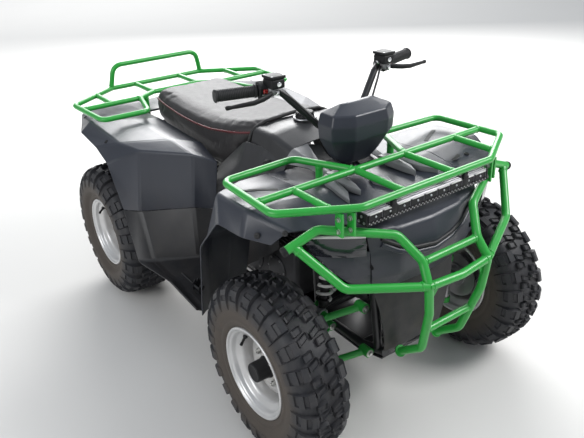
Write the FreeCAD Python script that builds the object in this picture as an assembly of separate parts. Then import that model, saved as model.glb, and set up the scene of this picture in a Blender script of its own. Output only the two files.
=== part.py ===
# Quad bike: tube frame, racks and bumper, moulded body panels, padded seat, A-arm front end,
# swinging rear axle, and a steering that turns both front wheels.
#
# Units are millimetres. +Z is up and the ground is z = 0. The nose points along -Y, the rider's
# right is -X, and the origin is on the ground under the middle of the machine.
import FreeCAD, Part
import math
import os

os.makedirs("parts", exist_ok=True)
V = FreeCAD.Vector

# Driving dimensions
FRONT_AXLE_Y = -600.0
REAR_AXLE_Y = 543.0
AXLE_Z = 279.0            # axle height, with the tyres resting on the ground
TYRE_R = 279.0            # out to the lug tips, a 22-inch tyre
RIM_R = 141.0             # flange of a 10-inch rim
FRONT_TYRE_W = 178.0
REAR_TYRE_W = 254.0
FRONT_TRACK = 424.0       # wheel centre from the middle, front
REAR_TRACK = 384.0        # wheel centre from the middle, rear
KINGPIN_X = 322.0
SPINDLE_R = 12.5
REAR_SHAFT_R = 17.5
RUN_CLEAR = 0.05          # radial clearance of a turning fit
SEAT_GAP = 0.3            # gap where two separate pieces rest on each other
PANEL = 4.0               # wall of the moulded body panels
RACK_R = 10.5
RACK_BAR_R = 10.0                     # short bars of the racks
BUMPER_R = 12.5
FRAME_R = 14.0
BAR_R = 11.0
RACK_FRONT_Z = 802.0
RACK_REAR_Z = 767.0
COLUMN_RAKE = 16.0        # degrees, steering column from the vertical
COLUMN_R = 12.0
CLAMP_Y = -400.0          # handlebar clamp on the column axis
CLAMP_Z = 865.0
POD_BACK_Y = -445.0       # back of the pod, held by two arms of the clamp
TIE_ROD_Z = 315.0
PITMAN_X = 16.0           # tie rod pins from the column axis
PITMAN_Y = 70.0

RAKE = math.radians(COLUMN_RAKE)
COLUMN_DIR = V(0, math.sin(RAKE), math.cos(RAKE))


def column_y(z):
    """Where the steering column's axis is at a height."""
    return CLAMP_Y - (CLAMP_Z - z) * math.tan(RAKE)


def mirror(shape):
    return shape.mirror(V(0, 0, 0), V(1, 0, 0))


def both(shape):
    """A shape and its mirror image as two solids of one node."""
    return Part.makeCompound([shape, mirror(shape)])


def fuse(shapes):
    whole = shapes[0].multiFuse(shapes[1:]) if len(shapes) > 1 else shapes[0]
    return whole.removeSplitter()


def rod(a, b, radius):
    a, b = V(*a), V(*b)
    return Part.makeCylinder(radius, (b - a).Length, a, b - a)


def box(low, high):
    low, high = V(*low), V(*high)
    size = high - low
    return Part.makeBox(size.x, size.y, size.z, low)


def bent_path(points, bend):
    """Straight runs through the points, joined by tangent arcs of the bend radius."""
    pts = [V(*p) for p in points]
    edges, start = [], pts[0]
    for before, corner, after in zip(pts, pts[1:], pts[2:]):
        u = (before - corner).normalize()
        w = (after - corner).normalize()
        half = u.getAngle(w) / 2
        if math.pi - 2 * half < 0.02:
            continue
        trim = bend / math.tan(half)
        room = 0.48 * min((before - corner).Length, (after - corner).Length)
        trim = min(trim, room)
        radius = trim * math.tan(half)
        a = corner + u * trim
        b = corner + w * trim
        centre = corner + (u + w).normalize() * (radius / math.sin(half))
        mid = centre + (corner - centre).normalize() * radius
        edges += [Part.LineSegment(start, a).toShape(), Part.Arc(a, mid, b).toShape()]
        start = b
    edges.append(Part.LineSegment(start, pts[-1]).toShape())
    return Part.Wire(edges)


def tube(points, radius, bend):
    """A round bar or tube along a bent path, closed at its ends."""
    path = bent_path(points, bend)
    start = path.Edges[0].valueAt(path.Edges[0].FirstParameter)
    ring = Part.Wire([Part.Circle(start, V(*points[1]) - V(*points[0]), radius).toShape()])
    return path.makePipeShell([ring], True, False)


def quad(a, b, c, d):
    """One flat or gently twisted face through four corners."""
    across = (b - a).cross(c - a)
    if abs(across.dot(d - a)) < 1e-6 * across.Length:
        return Part.Face(Part.makePolygon([a, b, c, d, a]))
    return Part.makeRuledSurface(Part.makeLine(a, b), Part.makeLine(d, c))


def skin(rows, wall):
    """A panel of even wall through a grid of points; the wall goes to the back of the grid."""
    grid = [[V(*p) for p in row] for row in rows]
    m, n = len(grid), len(grid[0])

    def normal(i, j):
        along = grid[min(i + 1, m - 1)][j] - grid[max(i - 1, 0)][j]
        across = grid[i][min(j + 1, n - 1)] - grid[i][max(j - 1, 0)]
        return along.cross(across).normalize()

    back = [[grid[i][j] - normal(i, j) * wall for j in range(n)] for i in range(m)]
    faces = []
    for i in range(m - 1):
        for j in range(n - 1):
            for g in (grid, back):
                faces.append(quad(g[i][j], g[i + 1][j], g[i + 1][j + 1], g[i][j + 1]))
    for i in range(m - 1):
        for j in (0, n - 1):
            faces.append(quad(grid[i][j], grid[i + 1][j], back[i + 1][j], back[i][j]))
    for j in range(n - 1):
        for i in (0, m - 1):
            faces.append(quad(grid[i][j], grid[i][j + 1], back[i][j + 1], back[i][j]))
    shell = Part.makeShell(faces)
    shell.sewShape()
    solid = Part.makeSolid(Part.Shell(shell.Faces))
    if solid.Volume < 0:
        solid.reverse()
    return solid


def ring(profile, y, x=0.0):
    """A solid turned about the wheel axis, from (x outward, radius) points."""
    pts = [V(x + px, y, AXLE_Z + pr) for px, pr in profile]
    face = Part.Face(Part.makePolygon(pts + [pts[0]]))
    return face.revolve(V(0, y, AXLE_Z), V(1, 0, 0), 360)


NODES = {}


def node(name, shape):
    NODES[name] = shape


# Front rack: one outline tube, a cross tube and short bars
RACK_BEND = 32.0
front_outline = [                     # x, y round one side, from the front bar's bend to the pod
    (250, -786), (445, -669), (432, -408), (180, -400), (98, -587)]
half = [(x, y, RACK_FRONT_Z) for x, y in front_outline]
outline = tube([(-x, y, z) for x, y, z in reversed(half)] + half, RACK_R, RACK_BEND)
bars = [rod((-438, -587, RACK_FRONT_Z), (438, -587, RACK_FRONT_Z), RACK_R)]
for x, y_back, y_front in ((98, -587, -786), (317, -587, -745)):
    for side in (-1, 1):
        bars.append(rod((side * x, y_back, RACK_FRONT_Z), (side * x, y_front, RACK_FRONT_Z), RACK_BAR_R))
POST_X, POST_Y = 145.0, -479.0        # posts that stand on the frame's rack tube
UP_Z = 620.0                          # upper rails of the frame
CROSS_R = 12.0                        # cross tubes of the frame
for side in (-1, 1):
    bars.append(rod((side * POST_X, POST_Y, RACK_FRONT_Z), (side * POST_X, POST_Y, UP_Z + CROSS_R + SEAT_GAP), 11))
front_rack = fuse([outline] + bars)
node("front_rack", front_rack)
rack_post_holes = [Part.makeCylinder(11 + SEAT_GAP, 200, V(side * POST_X, POST_Y, 620)) for side in (-1, 1)]

# Rear rack with its grab hoop and two pairs of legs
rear_outline = [                      # x, y round one side, from the rear bar's bend to the seat
    (220, 920), (449, 765), (436, 488), (249, 483), (192, 681), (109, 733)]
half = [(x, y, RACK_REAR_Z) for x, y in rear_outline]
outline = tube(half[::-1] + [(-x, y, z) for x, y, z in half], RACK_R, RACK_BEND)
bars = [rod((-109, 733, RACK_REAR_Z), (109, 733, RACK_REAR_Z), RACK_R)]
for side in (-1, 1):
    bars.append(rod((side * 192, 681, RACK_REAR_Z), (side * 441, 681, RACK_REAR_Z), RACK_R))
    bars.append(rod((side * 109, 733, RACK_REAR_Z), (side * 109, 920, RACK_REAR_Z), RACK_R))
    bars.append(rod((side * 320, 681, RACK_REAR_Z), (side * 320, 852, RACK_REAR_Z), RACK_R))
    bars.append(rod((side * 160, 700, RACK_REAR_Z), (side * 160, 700, 652), 11))
hoop = tube([(-225, 920, RACK_REAR_Z), (-205, 912, 867), (205, 912, 867), (225, 920, RACK_REAR_Z)], RACK_R, 45)
rear_rack = fuse([outline, hoop] + bars)
node("rear_rack", rear_rack)
rack_leg_holes = [Part.makeCylinder(11 + SEAT_GAP, 120, V(side * 160, 700, 645)) for side in (-1, 1)]

# Bumper: two bent side loops joined by cross tubes
side_top = [(444, -708, 707), (345, -723, 746), (150, -815, 702), (109, -872, 632), (120, -909, 574),
            (107, -905, 480), (80, -862, 326), (78, -776, 262)]
side_low = [(415, -712, 717), (325, -810, 600), (120, -909, 574)]
pieces = []
for side in (-1, 1):
    pieces.append(tube([(side * x, y, z) for x, y, z in side_top], BUMPER_R, 38))
    pieces.append(tube([(side * x, y, z) for x, y, z in side_low], BUMPER_R, 45))
for x, y, z, radius in ((108, -872, 628, 11), (95, -883, 407, 11)):
    pieces.append(rod((-x, y, z), (x, y, z), radius))
pieces.append(tube([(-120, -909, 574), (0, -918, 570), (120, -909, 574)], BUMPER_R, 60))
for side in (-1, 1):                  # clamp plates up to the front bar of the rack
    for x, y in ((268, -768), (298, -756)):
        pieces.append(box((side * x - 3, y - 14, 724), (side * x + 3, y + 14,
                                                         RACK_FRONT_Z - RACK_R - SEAT_GAP)))
bumper = fuse(pieces)
node("bumper", bumper)

# Light bar on the rack's front bar
light = [box((-238, -792, 742), (238, -752, 778))]
for x in (-140, 140):                 # clamps up to the rack
    light.append(box((x - 8, -792, 770), (x + 8, -780, RACK_FRONT_Z - RACK_R - SEAT_GAP)))
node("light_bar", fuse(light))

FOOT_Z = 285.0                        # floor of the footboards
STAY_R = 11.0
# Frame: lower and upper rails, uprights, cross tubes and brackets
LOW_X, UP_X = 110.0, 125.0
LOW_Z = 225.0
TOWER_Y = -590.0                      # cross tube that the front shocks hang from
PIVOT_Y, PIVOT_Z, PIVOT_HALF, PIVOT_BOLT_R = 250.0, 300.0, 90.0, 9.0
frame_parts = []
for side in (-1, 1):
    frame_parts.append(tube([(side * LOW_X, -745, LOW_Z + 30), (side * LOW_X, -640, LOW_Z),
                             (side * LOW_X, 250, LOW_Z), (side * UP_X, 330, 330),
                             (side * UP_X, 400, UP_Z - 20)], FRAME_R, 60))
    frame_parts.append(tube([(side * LOW_X, -715, LOW_Z + 20), (side * UP_X, -690, 560),
                             (side * UP_X, -620, UP_Z), (side * UP_X, 850, UP_Z + 15)], FRAME_R, 60))
    frame_parts.append(rod((side * LOW_X, -420, LOW_Z), (side * UP_X, -420, UP_Z), FRAME_R))
    frame_parts.append(tube([(side * UP_X, 820, UP_Z + 10), (side * 100, 800, 440), (side * 100, 770, 420)],
                            FRAME_R, 40))
    for y in (-60, -200):             # footboard stays
        z = FOOT_Z - PANEL - SEAT_GAP - STAY_R
        frame_parts.append(tube([(side * LOW_X, y, LOW_Z), (side * 160, y, LOW_Z), (side * 200, y, z),
                                 (side * 440, y, z)], STAY_R, 40))
for x, y, z in ((LOW_X, -640, LOW_Z), (LOW_X, 200, LOW_Z), (UP_X, -420, UP_Z), (UP_X, 400, UP_Z),
                (UP_X, 700, UP_Z + 12), (100, 790, 430), (LOW_X, -420, LOW_Z + 10)):
    frame_parts.append(rod((-x, y, z), (x, y, z), CROSS_R))
frame_parts.append(rod((-200, POST_Y, UP_Z), (200, POST_Y, UP_Z), CROSS_R))
frame_parts.append(rod((-190, TOWER_Y, UP_Z), (190, TOWER_Y, UP_Z), CROSS_R))
for side in (-1, 1):                  # swingarm pivot lugs and bolt, seat pads and panel pegs
    inner = PIVOT_HALF + SEAT_GAP
    frame_parts.append(box((min(side * inner, side * (inner + 7)), PIVOT_Y - 15, LOW_Z),
                           (max(side * inner, side * (inner + 7)), PIVOT_Y + 50, PIVOT_Z + 15)))
    frame_parts.append(box((side * UP_X - 12, 100, UP_Z), (side * UP_X + 12, 140, 662.0 - SEAT_GAP)))
    frame_parts.append(rod((side * UP_X, -240, UP_Z + 4), (side * 231, -240, UP_Z + 4), 7))
frame_parts.append(rod((-PIVOT_HALF - 7, PIVOT_Y, PIVOT_Z), (PIVOT_HALF + 7, PIVOT_Y, PIVOT_Z), PIVOT_BOLT_R))
for z in (350, 640):                  # bearings of the steering column
    y = column_y(z)
    frame_parts.append(Part.makeCylinder(24, 30, V(0, y, z) - COLUMN_DIR * 15, COLUMN_DIR))
frame_parts.append(box((-8, column_y(350), 340), (8, -420, 356)))
frame_parts.append(rod((-UP_X, -420, 348), (UP_X, -420, 348), FRAME_R - 2))
frame_parts.append(box((-8, column_y(640) - 40, UP_Z - 6), (8, column_y(640) + 10, UP_Z + 10)))
frame_body = fuse(frame_parts)
column_bore = Part.makeCylinder(COLUMN_R + RUN_CLEAR, 700, V(0, column_y(250), 250), COLUMN_DIR)
node("frame", frame_body.cut(column_bore))

# Engine block between the rails
node("engine", box((-140, -330, LOW_Z + FRAME_R + SEAT_GAP), (140, 150, 575)))

# Skid plate under the nose and engine
node("skid_plate", skin([[(-120, y, z), (120, y, z)] for y, z in
                         ((-740, 235), (-640, 209), (-560, LOW_Z - FRAME_R - SEAT_GAP), (200, LOW_Z - FRAME_R - SEAT_GAP))][::-1], 5.0))

# Wheels
RIM_WALL = 3.0


def rim(width, disc_at):
    """Pressed steel rim: flanges, bead seats, a dropped centre and a dished disc."""
    h = width / 2
    outer = [(-h, RIM_R), (-h + 4, RIM_R), (-h + 8, 127), (-h + 24, 124), (-h + 38, 106), (h - 38, 106),
             (h - 24, 124), (h - 8, 127), (h - 4, RIM_R), (h, RIM_R)]
    inner = [(x, r - 4) for x, r in reversed(outer[1:-1])]
    barrel = [(-h, RIM_R)] + outer[1:-1] + [(h, RIM_R), (h, RIM_R - 4)] + inner + [(-h, RIM_R - 4)]
    disc = [(disc_at - 24, 103), (disc_at, 70), (disc_at, 31), (disc_at + RIM_WALL, 31),
            (disc_at + RIM_WALL, 71), (disc_at - 20, 104)]
    return barrel, disc


def wheel_rim(width, disc_at, x, y):
    barrel, disc = rim(width, disc_at)
    return fuse([ring(barrel, y, x), ring(disc, y, x)])


def tyre(width, rim_width, x, y):
    """Hollow tyre, open at its beads, out to the lug tips."""
    h, b = width / 2, rim_width / 2
    crown = TYRE_R
    outer = [(-b + 9, 127.4), (-b + 5, 142), (-b - 1, 148), (-h + 6, 175), (-h, 205), (-h + 8, 245), (-h + 32, crown - 8),
             (-20, crown), (20, crown), (h - 32, crown - 8), (h - 8, 245), (h, 205), (h - 6, 175),
             (b + 1, 148), (b - 5, 142), (b - 9, 127.4)]
    wall = 11.0
    inner = [(b - 24, 127.4), (b - 14, 150), (h - 6 - wall, 178), (h - wall, 205), (h - 8 - wall, 240),
             (h - 40, crown - 26), (-h + 40, crown - 26), (-h + 8 + wall, 240), (-h + wall, 205),
             (-h + 6 + wall, 178), (-b + 14, 150), (-b + 24, 127.4)]
    return ring(outer + inner, y, x)


FRONT_RIM_W, REAR_RIM_W = 152.0, 204.0
HUB_R = 30.0
rim_left = wheel_rim(FRONT_RIM_W, 18.0, FRONT_TRACK, FRONT_AXLE_Y)
tyre_left = tyre(FRONT_TYRE_W, FRONT_RIM_W, FRONT_TRACK, FRONT_AXLE_Y)
hub_left = ring([(352, SPINDLE_R + RUN_CLEAR), (352, HUB_R), (FRONT_TRACK - 12, HUB_R),
                 (FRONT_TRACK - 12, 60), (FRONT_TRACK + 18 - SEAT_GAP, 60),
                 (FRONT_TRACK + 18 - SEAT_GAP, HUB_R), (FRONT_TRACK + 40, HUB_R), (FRONT_TRACK + 46, 24),
                 (FRONT_TRACK + 46, 0), (FRONT_TRACK + 42, 0), (FRONT_TRACK + 42, SPINDLE_R + RUN_CLEAR)],
                FRONT_AXLE_Y)
node("front_rim_left", rim_left)
node("front_rim_right", mirror(rim_left))
node("front_tyre_left", tyre_left)
node("front_tyre_right", mirror(tyre_left))
node("front_hub_left", hub_left)
node("front_hub_right", mirror(hub_left))
rear_rim = wheel_rim(REAR_RIM_W, 30.0, REAR_TRACK, REAR_AXLE_Y)
rear_tyre = tyre(REAR_TYRE_W, REAR_RIM_W, REAR_TRACK, REAR_AXLE_Y)
node("rear_rims", both(rear_rim))
node("rear_tyres", both(rear_tyre))
half_axle = ring([(0, 0), (0, REAR_SHAFT_R), (330, REAR_SHAFT_R), (330, HUB_R), (REAR_TRACK, HUB_R),
                  (REAR_TRACK, 60), (REAR_TRACK + 30 - SEAT_GAP, 60), (REAR_TRACK + 30 - SEAT_GAP, 24),
                  (REAR_TRACK + 52, 24), (REAR_TRACK + 52, 0)], REAR_AXLE_Y)
node("rear_axle", fuse([half_axle, mirror(half_axle)]))

# Knuckles: an upright on the kingpin, the spindle and the steering arm
pin_x, pin_y = KINGPIN_X + PITMAN_X, FRONT_AXLE_Y + PITMAN_Y
PIN_R = 5.0
BALL_LOW_Z, BALL_UP_Z = 195.0, 365.0
BALL_PIN_R = 7.0
upright = fuse([
    rod((KINGPIN_X, FRONT_AXLE_Y, BALL_LOW_Z + 12), (KINGPIN_X, FRONT_AXLE_Y, BALL_UP_Z - 12), 15),
    rod((KINGPIN_X, FRONT_AXLE_Y, BALL_LOW_Z - 14), (KINGPIN_X, FRONT_AXLE_Y, BALL_UP_Z + 14), BALL_PIN_R),
    rod((KINGPIN_X, FRONT_AXLE_Y, AXLE_Z), (346, FRONT_AXLE_Y, AXLE_Z), 20),
    rod((KINGPIN_X, FRONT_AXLE_Y, AXLE_Z), (FRONT_TRACK + 36, FRONT_AXLE_Y, AXLE_Z), SPINDLE_R),
    box((KINGPIN_X - 10, FRONT_AXLE_Y, TIE_ROD_Z - 17), (KINGPIN_X + 10, pin_y, TIE_ROD_Z - 9)),
    box((KINGPIN_X - 10, pin_y - 12, TIE_ROD_Z - 17), (pin_x + 10, pin_y + 10, TIE_ROD_Z - 9)),
    rod((pin_x, pin_y, TIE_ROD_Z - 12), (pin_x, pin_y, TIE_ROD_Z + 9), PIN_R)])
node("knuckle_left", upright)
node("knuckle_right", mirror(upright))

# Tie rods: the outer eye turns on the knuckle's pin, the inner eye hangs loose on the pitman's
PIN_RISE = 18.0           # from the pitman arm up to the middle of the tie rod's eye
arm_z = TIE_ROD_Z + PITMAN_Y * math.sin(RAKE) - PIN_RISE
pitman_pin = V(PITMAN_X, column_y(arm_z) + PITMAN_Y * math.cos(RAKE) + PIN_RISE * math.tan(RAKE), TIE_ROD_Z)
outer_eye = V(pin_x, pin_y, TIE_ROD_Z)
along = (pitman_pin - outer_eye).normalize()
rod_shape = fuse([
    Part.makeCylinder(11, 10, outer_eye - V(0, 0, 5)), Part.makeCylinder(14, 10, pitman_pin - V(0, 0, 5)),
    Part.makeCylinder(7, (pitman_pin - outer_eye).Length - 20, outer_eye + along * 9, along)])
rod_shape = rod_shape.cut(Part.makeCylinder(PIN_R + RUN_CLEAR, 20, outer_eye - V(0, 0, 10)))
rod_shape = rod_shape.cut(Part.makeCylinder(9.5, 20, pitman_pin - V(0, 0, 10)))
node("tie_rod_left", rod_shape)
node("tie_rod_right", mirror(rod_shape))

# A-arms: two tubes from the frame to each ball joint
ARM_R = 11.0


def arm(y_front, y_back, x_in, z_in, z_out):
    tip = (KINGPIN_X - 14, FRONT_AXLE_Y, z_out)
    legs = [rod((x_in, y, z_in), tip, ARM_R) for y in (y_front, y_back)]
    bushes = [rod((x_in, y - 18, z_in), (x_in, y + 18, z_in), 16) for y in (y_front, y_back)]
    eye = Part.makeCylinder(18, 20, V(KINGPIN_X, FRONT_AXLE_Y, z_out - 10))
    whole = fuse(legs + bushes + [eye])
    return whole.cut(Part.makeCylinder(BALL_PIN_R + RUN_CLEAR, 60, V(KINGPIN_X, FRONT_AXLE_Y, z_out - 30)))


ARM_IN_X = LOW_X + FRAME_R + 16 + SEAT_GAP
SHOCK_X, SHOCK_BAR_Z, SHOCK_BAR_R = 245.0, 380.0, 12.0
lower_arm = arm(-690, -510, ARM_IN_X, LOW_Z + 16, BALL_LOW_Z)
upper_arm = arm(-675, -525, ARM_IN_X + 6, 400, BALL_UP_Z)
shock_bar = rod((SHOCK_X, FRONT_AXLE_Y - 34, SHOCK_BAR_Z), (SHOCK_X, FRONT_AXLE_Y + 34, SHOCK_BAR_Z), SHOCK_BAR_R)
upper_arm = fuse([upper_arm, shock_bar])
node("front_arms_left", Part.makeCompound([lower_arm, upper_arm]))
node("front_arms_right", mirror(Part.makeCompound([lower_arm, upper_arm])))

# Shocks: a damper inside a coil spring, shown as stepped rings
def shock_between(low, low_dir, high, radius):
    """A shock whose ends are hollowed to rest on two cross bars of one radius."""
    axis = (high - low).normalize()
    length = (high - low).Length
    parts = [Part.makeCylinder(DAMPER_R, length, low, axis)]
    pitch = length * 0.6 / COILS
    for i in range(COILS):
        parts.append(Part.makeCylinder(radius, pitch * 0.5, low + axis * (length * 0.2 + i * pitch), axis))
    bars = [Part.makeCylinder(CROSS_R + SEAT_GAP, 100, at - along * 50, along)
            for at, along in ((low, low_dir), (high, V(1, 0, 0)))]
    return fuse(parts).cut(Part.makeCompound(bars))


DAMPER_R, COILS = 11.5, 6
front_shock = shock_between(V(SHOCK_X, FRONT_AXLE_Y, SHOCK_BAR_Z), V(0, 1, 0), V(172, TOWER_Y, UP_Z), 26)
node("front_shocks", both(front_shock))

# Swingarm carrying the rear axle, its pivot tube turning on the frame's bolt
lug_y, lug_z = REAR_AXLE_Y - 68, 345.0
carrier = Part.makeCylinder(42, 220, V(-110, REAR_AXLE_Y, AXLE_Z), V(1, 0, 0))
swing = [carrier, rod((-PIVOT_HALF, PIVOT_Y, PIVOT_Z), (PIVOT_HALF, PIVOT_Y, PIVOT_Z), 18)]
for side in (-1, 1):
    swing.append(rod((side * 72, PIVOT_Y, PIVOT_Z), (side * 72, REAR_AXLE_Y, AXLE_Z), 18))
swing.append(rod((-25, lug_y, lug_z), (25, lug_y, lug_z), 12))
swing.append(box((-25, lug_y, lug_z - 12), (-15, REAR_AXLE_Y, lug_z)))
swing.append(box((15, lug_y, lug_z - 12), (25, REAR_AXLE_Y, lug_z)))
for side in (-1, 1):
    swing.append(box((side * 20 - 5, REAR_AXLE_Y - 20, AXLE_Z), (side * 20 + 5, REAR_AXLE_Y, lug_z)))
bolt_hole = rod((-200, PIVOT_Y, PIVOT_Z), (200, PIVOT_Y, PIVOT_Z), PIVOT_BOLT_R + SEAT_GAP)
shaft_hole = rod((-200, REAR_AXLE_Y, AXLE_Z), (200, REAR_AXLE_Y, AXLE_Z), REAR_SHAFT_R + RUN_CLEAR)
node("swingarm", fuse(swing).cut(Part.makeCompound([bolt_hole, shaft_hole])))
node("rear_shocks", shock_between(V(0, lug_y, lug_z), V(1, 0, 0), V(0, 400, UP_Z), 32))

# Muffler and tow hitch
MUFFLER_R = 48.0
muffler = [rod((215, 560, 596), (215, 850, 606), MUFFLER_R), rod((215, 850, 606), (215, 895, 608), 16)]
for y in (650, 790):                  # brackets to the upper rail
    muffler.append(box((UP_X + FRAME_R + SEAT_GAP, y - 12, 630), (205, y + 12, 636)))
node("muffler", fuse(muffler))
hitch = box((-45, 775, 442.3), (45, 900, 450.3)).cut(Part.makeCylinder(8, 20, V(0, 870, 436)))
node("tow_hitch", hitch)

# Rear fenders: rows run up the front wall and back over the wheel, columns run outwards
rear_rows = [                         # inner edge, inner crease, outer crease, lip
    [(235, 20, 500), (300, 75, 505), (440, 236, 475), (495, 258, 490)],
    [(240, -30, 700), (300, 30, 724), (414, 226, 712), (490, 368, 640)],
    [(215, 120, 722), (300, 190, 738), (440, 344, 716), (493, 455, 682)],
    [(205, 480, 728), (300, 500, 738), (440, 620, 735), (490, 612, 700)],
    [(190, 860, 705), (300, 875, 705), (400, 850, 702), (425, 800, 668)]]
wing = skin(rear_rows, -PANEL)
tail = skin([[(-w, y, z), (w, y, z)] for w, y, z in ((203, 650, 716), (197, 862, 705), (197, 866, 640))], -PANEL)
rear_body = fuse([wing, mirror(wing), tail]).cut(Part.makeCompound(rack_leg_holes))
node("rear_fender", rear_body)
lamp = box((105, 866, 650), (180, 886, 690))
node("tail_lamps", both(lamp))

# Footboards: the lower front wall of the rear wheel and the floor for the foot
PARTING = 1.5                         # open seam under the rear fender's front wall
foot_rows = [                         # inner edge, inner crease, outer crease, lip
    [(x, y, z - PARTING) for x, y, z in rear_rows[0]],
    [(225, 40, 300), (300, 72, 300), (447, 150, 300), (498, 180, 303)],
    [(225, -20, FOOT_Z), (300, -20, FOOT_Z), (440, -20, FOOT_Z), (466, -18, 298)],
    [(225, -235, FOOT_Z), (300, -235, FOOT_Z), (450, -235, FOOT_Z), (478, -235, 300)]]
floor = skin(foot_rows, PANEL)
node("footboard_left", floor)
node("footboard_right", mirror(floor))

# Front fenders: rows run up the mud flap and forward over the wheel
front_rows = [                        # inner edge, middle, ridge, lip
    [(300, -248, 320), (380, -252, 320), (440, -262, 318), (492, -296, 315)],
    [(270, -275, 560), (350, -280, 570), (440, -300, 590), (492, -338, 585)],
    [(242.6, -330, 752), (350, -350, 765), (452, -395, 770), (490, -455, 708)],
    [(242.6, -560, 763), (350, -560, 775), (455, -560, 778), (488, -580, 714)],
    [(242.6, -735, 735), (330, -708, 738), (405, -678, 742), (440, -648, 702)]]
front_wing = skin(front_rows, PANEL)
node("front_fender_left", front_wing)
node("front_fender_right", mirror(front_wing))

# Hood and nose between the fenders, with a hole for the steering column
nose_rows = [                         # y, half width, forward bulge of the middle, side z, middle z
    (-345, 242, 0, 753, 745), (-560, 242, 0, 763, 742), (-735, 242, 0, 735, 728), (-770, 218, 35, 705, 705),
    (-775, 206, 45, 640, 640), (-770, 194, 40, 560, 560), (-745, 180, 25, 500, 500)]
nose_rows = [[(-w, y, zs), (-w * 0.55, y - b * 0.7, zm), (0, y - b, zm), (w * 0.55, y - b * 0.7, zm), (w, y, zs)]
             for y, w, b, zs, zm in nose_rows]
nose = skin(nose_rows, PANEL)
column_hole = Part.makeCylinder(60, 120, V(0, column_y(742), 742) - COLUMN_DIR * 60, COLUMN_DIR)
node("nose_panel", nose.cut(Part.makeCompound([column_hole] + rack_post_holes)))

lens = skin([[(250, -768, 709), (372, -695, 718)], [(235, -773, 650), (340, -705, 660)]], 20)
lens_tab = box((213, -772, 655), (245, -760, 675))     # joins the lamp to the nose panel's edge
node("headlights", both(fuse([lens, lens_tab])))

# Tank cover and side panels
cover_rows = [[(-170, y, z - 60), (-150, y, z - 8), (-70, y, z), (0, y, z + 2), (70, y, z), (150, y, z - 8),
               (170, y, z - 60)] for y, z in ((-150.6, 845), (-250, 845), (-345, 818))]
cover = skin(cover_rows, PANEL)
cover = cover.cut(Part.makeCylinder(60, 300, V(0, column_y(800), 800) - COLUMN_DIR * 100, COLUMN_DIR))
side_rows = [                         # from the rear edge forward, top to bottom
    [(212, -48, 690), (232, -20, 600), (228, -5, 450), (215, 0, 320)],
    [(200, -130, 700), (240, -130, 640), (245, -130, 500), (222, -130, 320)],
    [(168, -240, 788), (232, -240, 700), (240, -240, 560), (220, -240, 400)],
    [(172, -345, 758), (212, -345, 700), (225, -345, 600), (210, -345, 480)]]
side_panel = skin(side_rows, PANEL)
node("tank_cover", fuse([cover, side_panel, mirror(side_panel)]))
node("fuel_cap", Part.makeCylinder(32, 26, V(0, -222, 847 + SEAT_GAP)))

# Seat: a plain padded block on the frame
seat_rows = [(-150, 120, 700, 838), (-60, 190, 668, 828), (200, 205, 660, 808), (480, 190, 680, 815),
             (600, 165, 700, 815)]   # y, half width, underside, top
sections = []
for y, w, low, top in seat_rows:
    pts = [V(-w, y, low), V(w, y, low), V(w, y, top - 20), V(w - 30, y, top), V(-w + 30, y, top),
           V(-w, y, top - 20)]
    sections.append(Part.makePolygon(pts + [pts[0]]))
node("seat", Part.makeLoft(sections, True, True))

# Steering: column, bar, controls, pod and hoses
column_foot = V(0, column_y(270), 270)
top = V(0, CLAMP_Y, CLAMP_Z)
pitman = Part.makeCylinder(10, 8, V(0, 0, 0), V(0, 0, 1))
plate = Part.makeBox(2 * PITMAN_X + 22, PITMAN_Y + 22, 8, V(-PITMAN_X - 11, -10, -4))
pins = [Part.makeCylinder(PIN_R, 30, V(side * PITMAN_X, PITMAN_Y, 0)) for side in (-1, 1)]
arm_solid = fuse([plate] + pins)
arm_solid.rotate(V(0, 0, 0), V(1, 0, 0), -COLUMN_RAKE)
arm_solid.translate(V(0, column_y(arm_z), arm_z))
clamp = box((-38, CLAMP_Y - 20, CLAMP_Z - 28), (38, CLAMP_Y + 20, CLAMP_Z + 20))
arms = [box((side * 30 - 4, POD_BACK_Y + SEAT_GAP, CLAMP_Z - 8), (side * 30 + 4, CLAMP_Y, CLAMP_Z + 16))
        for side in (-1, 1)]
shaft = Part.makeCylinder(COLUMN_R, (top - column_foot).Length - 10, column_foot, COLUMN_DIR)
column = fuse([shaft, arm_solid, clamp] + arms)
bar_path = [(376, -307, 1015), (195, -352, 1012), (75, -398, 880)]
bar_points = bar_path + [(38, CLAMP_Y, CLAMP_Z)]
bar_points += [(-x, y, z) for x, y, z in reversed(bar_points)]
bar = tube(bar_points, BAR_R, 50)
node("handlebar", bar)
node("steering_column", column.cut(tube(bar_points, BAR_R + SEAT_GAP, 50)))
grip_dir = (V(376, -307, 1015) - V(195, -352, 1012)).normalize()
grip_end = V(*bar_path[0]) + grip_dir * 4
grip = Part.makeCylinder(17, 124, grip_end, grip_dir * -1)
grip = grip.cut(Part.makeCylinder(BAR_R + SEAT_GAP, 120, grip_end - grip_dir * 4, grip_dir * -1))
node("grips", both(grip))
hold = grip_end - grip_dir * 150
reservoir = box((-24, -28, 4), (24, 24, 42))
reservoir.translate(hold + V(-20, -22, 4))
switch = Part.makeCylinder(21, 40, hold + grip_dir * 18, grip_dir * -1)
switch = switch.cut(Part.makeCylinder(BAR_R + SEAT_GAP, 60, hold + grip_dir * 25, grip_dir * -1))
lever = tube([(hold.x - 10, hold.y - 30, hold.z - 4), (hold.x + 60, hold.y - 62, hold.z - 12),
              (hold.x + 150, hold.y - 42, hold.z - 14)], 6, 30)
link = box((hold.x - 28, hold.y - 42, hold.z - 12), (hold.x + 2, hold.y - 6, hold.z + 12))
controls = fuse([switch, reservoir, lever, link]).cut(tube(bar_points, BAR_R + SEAT_GAP, 50))
node("controls", both(controls))
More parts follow.
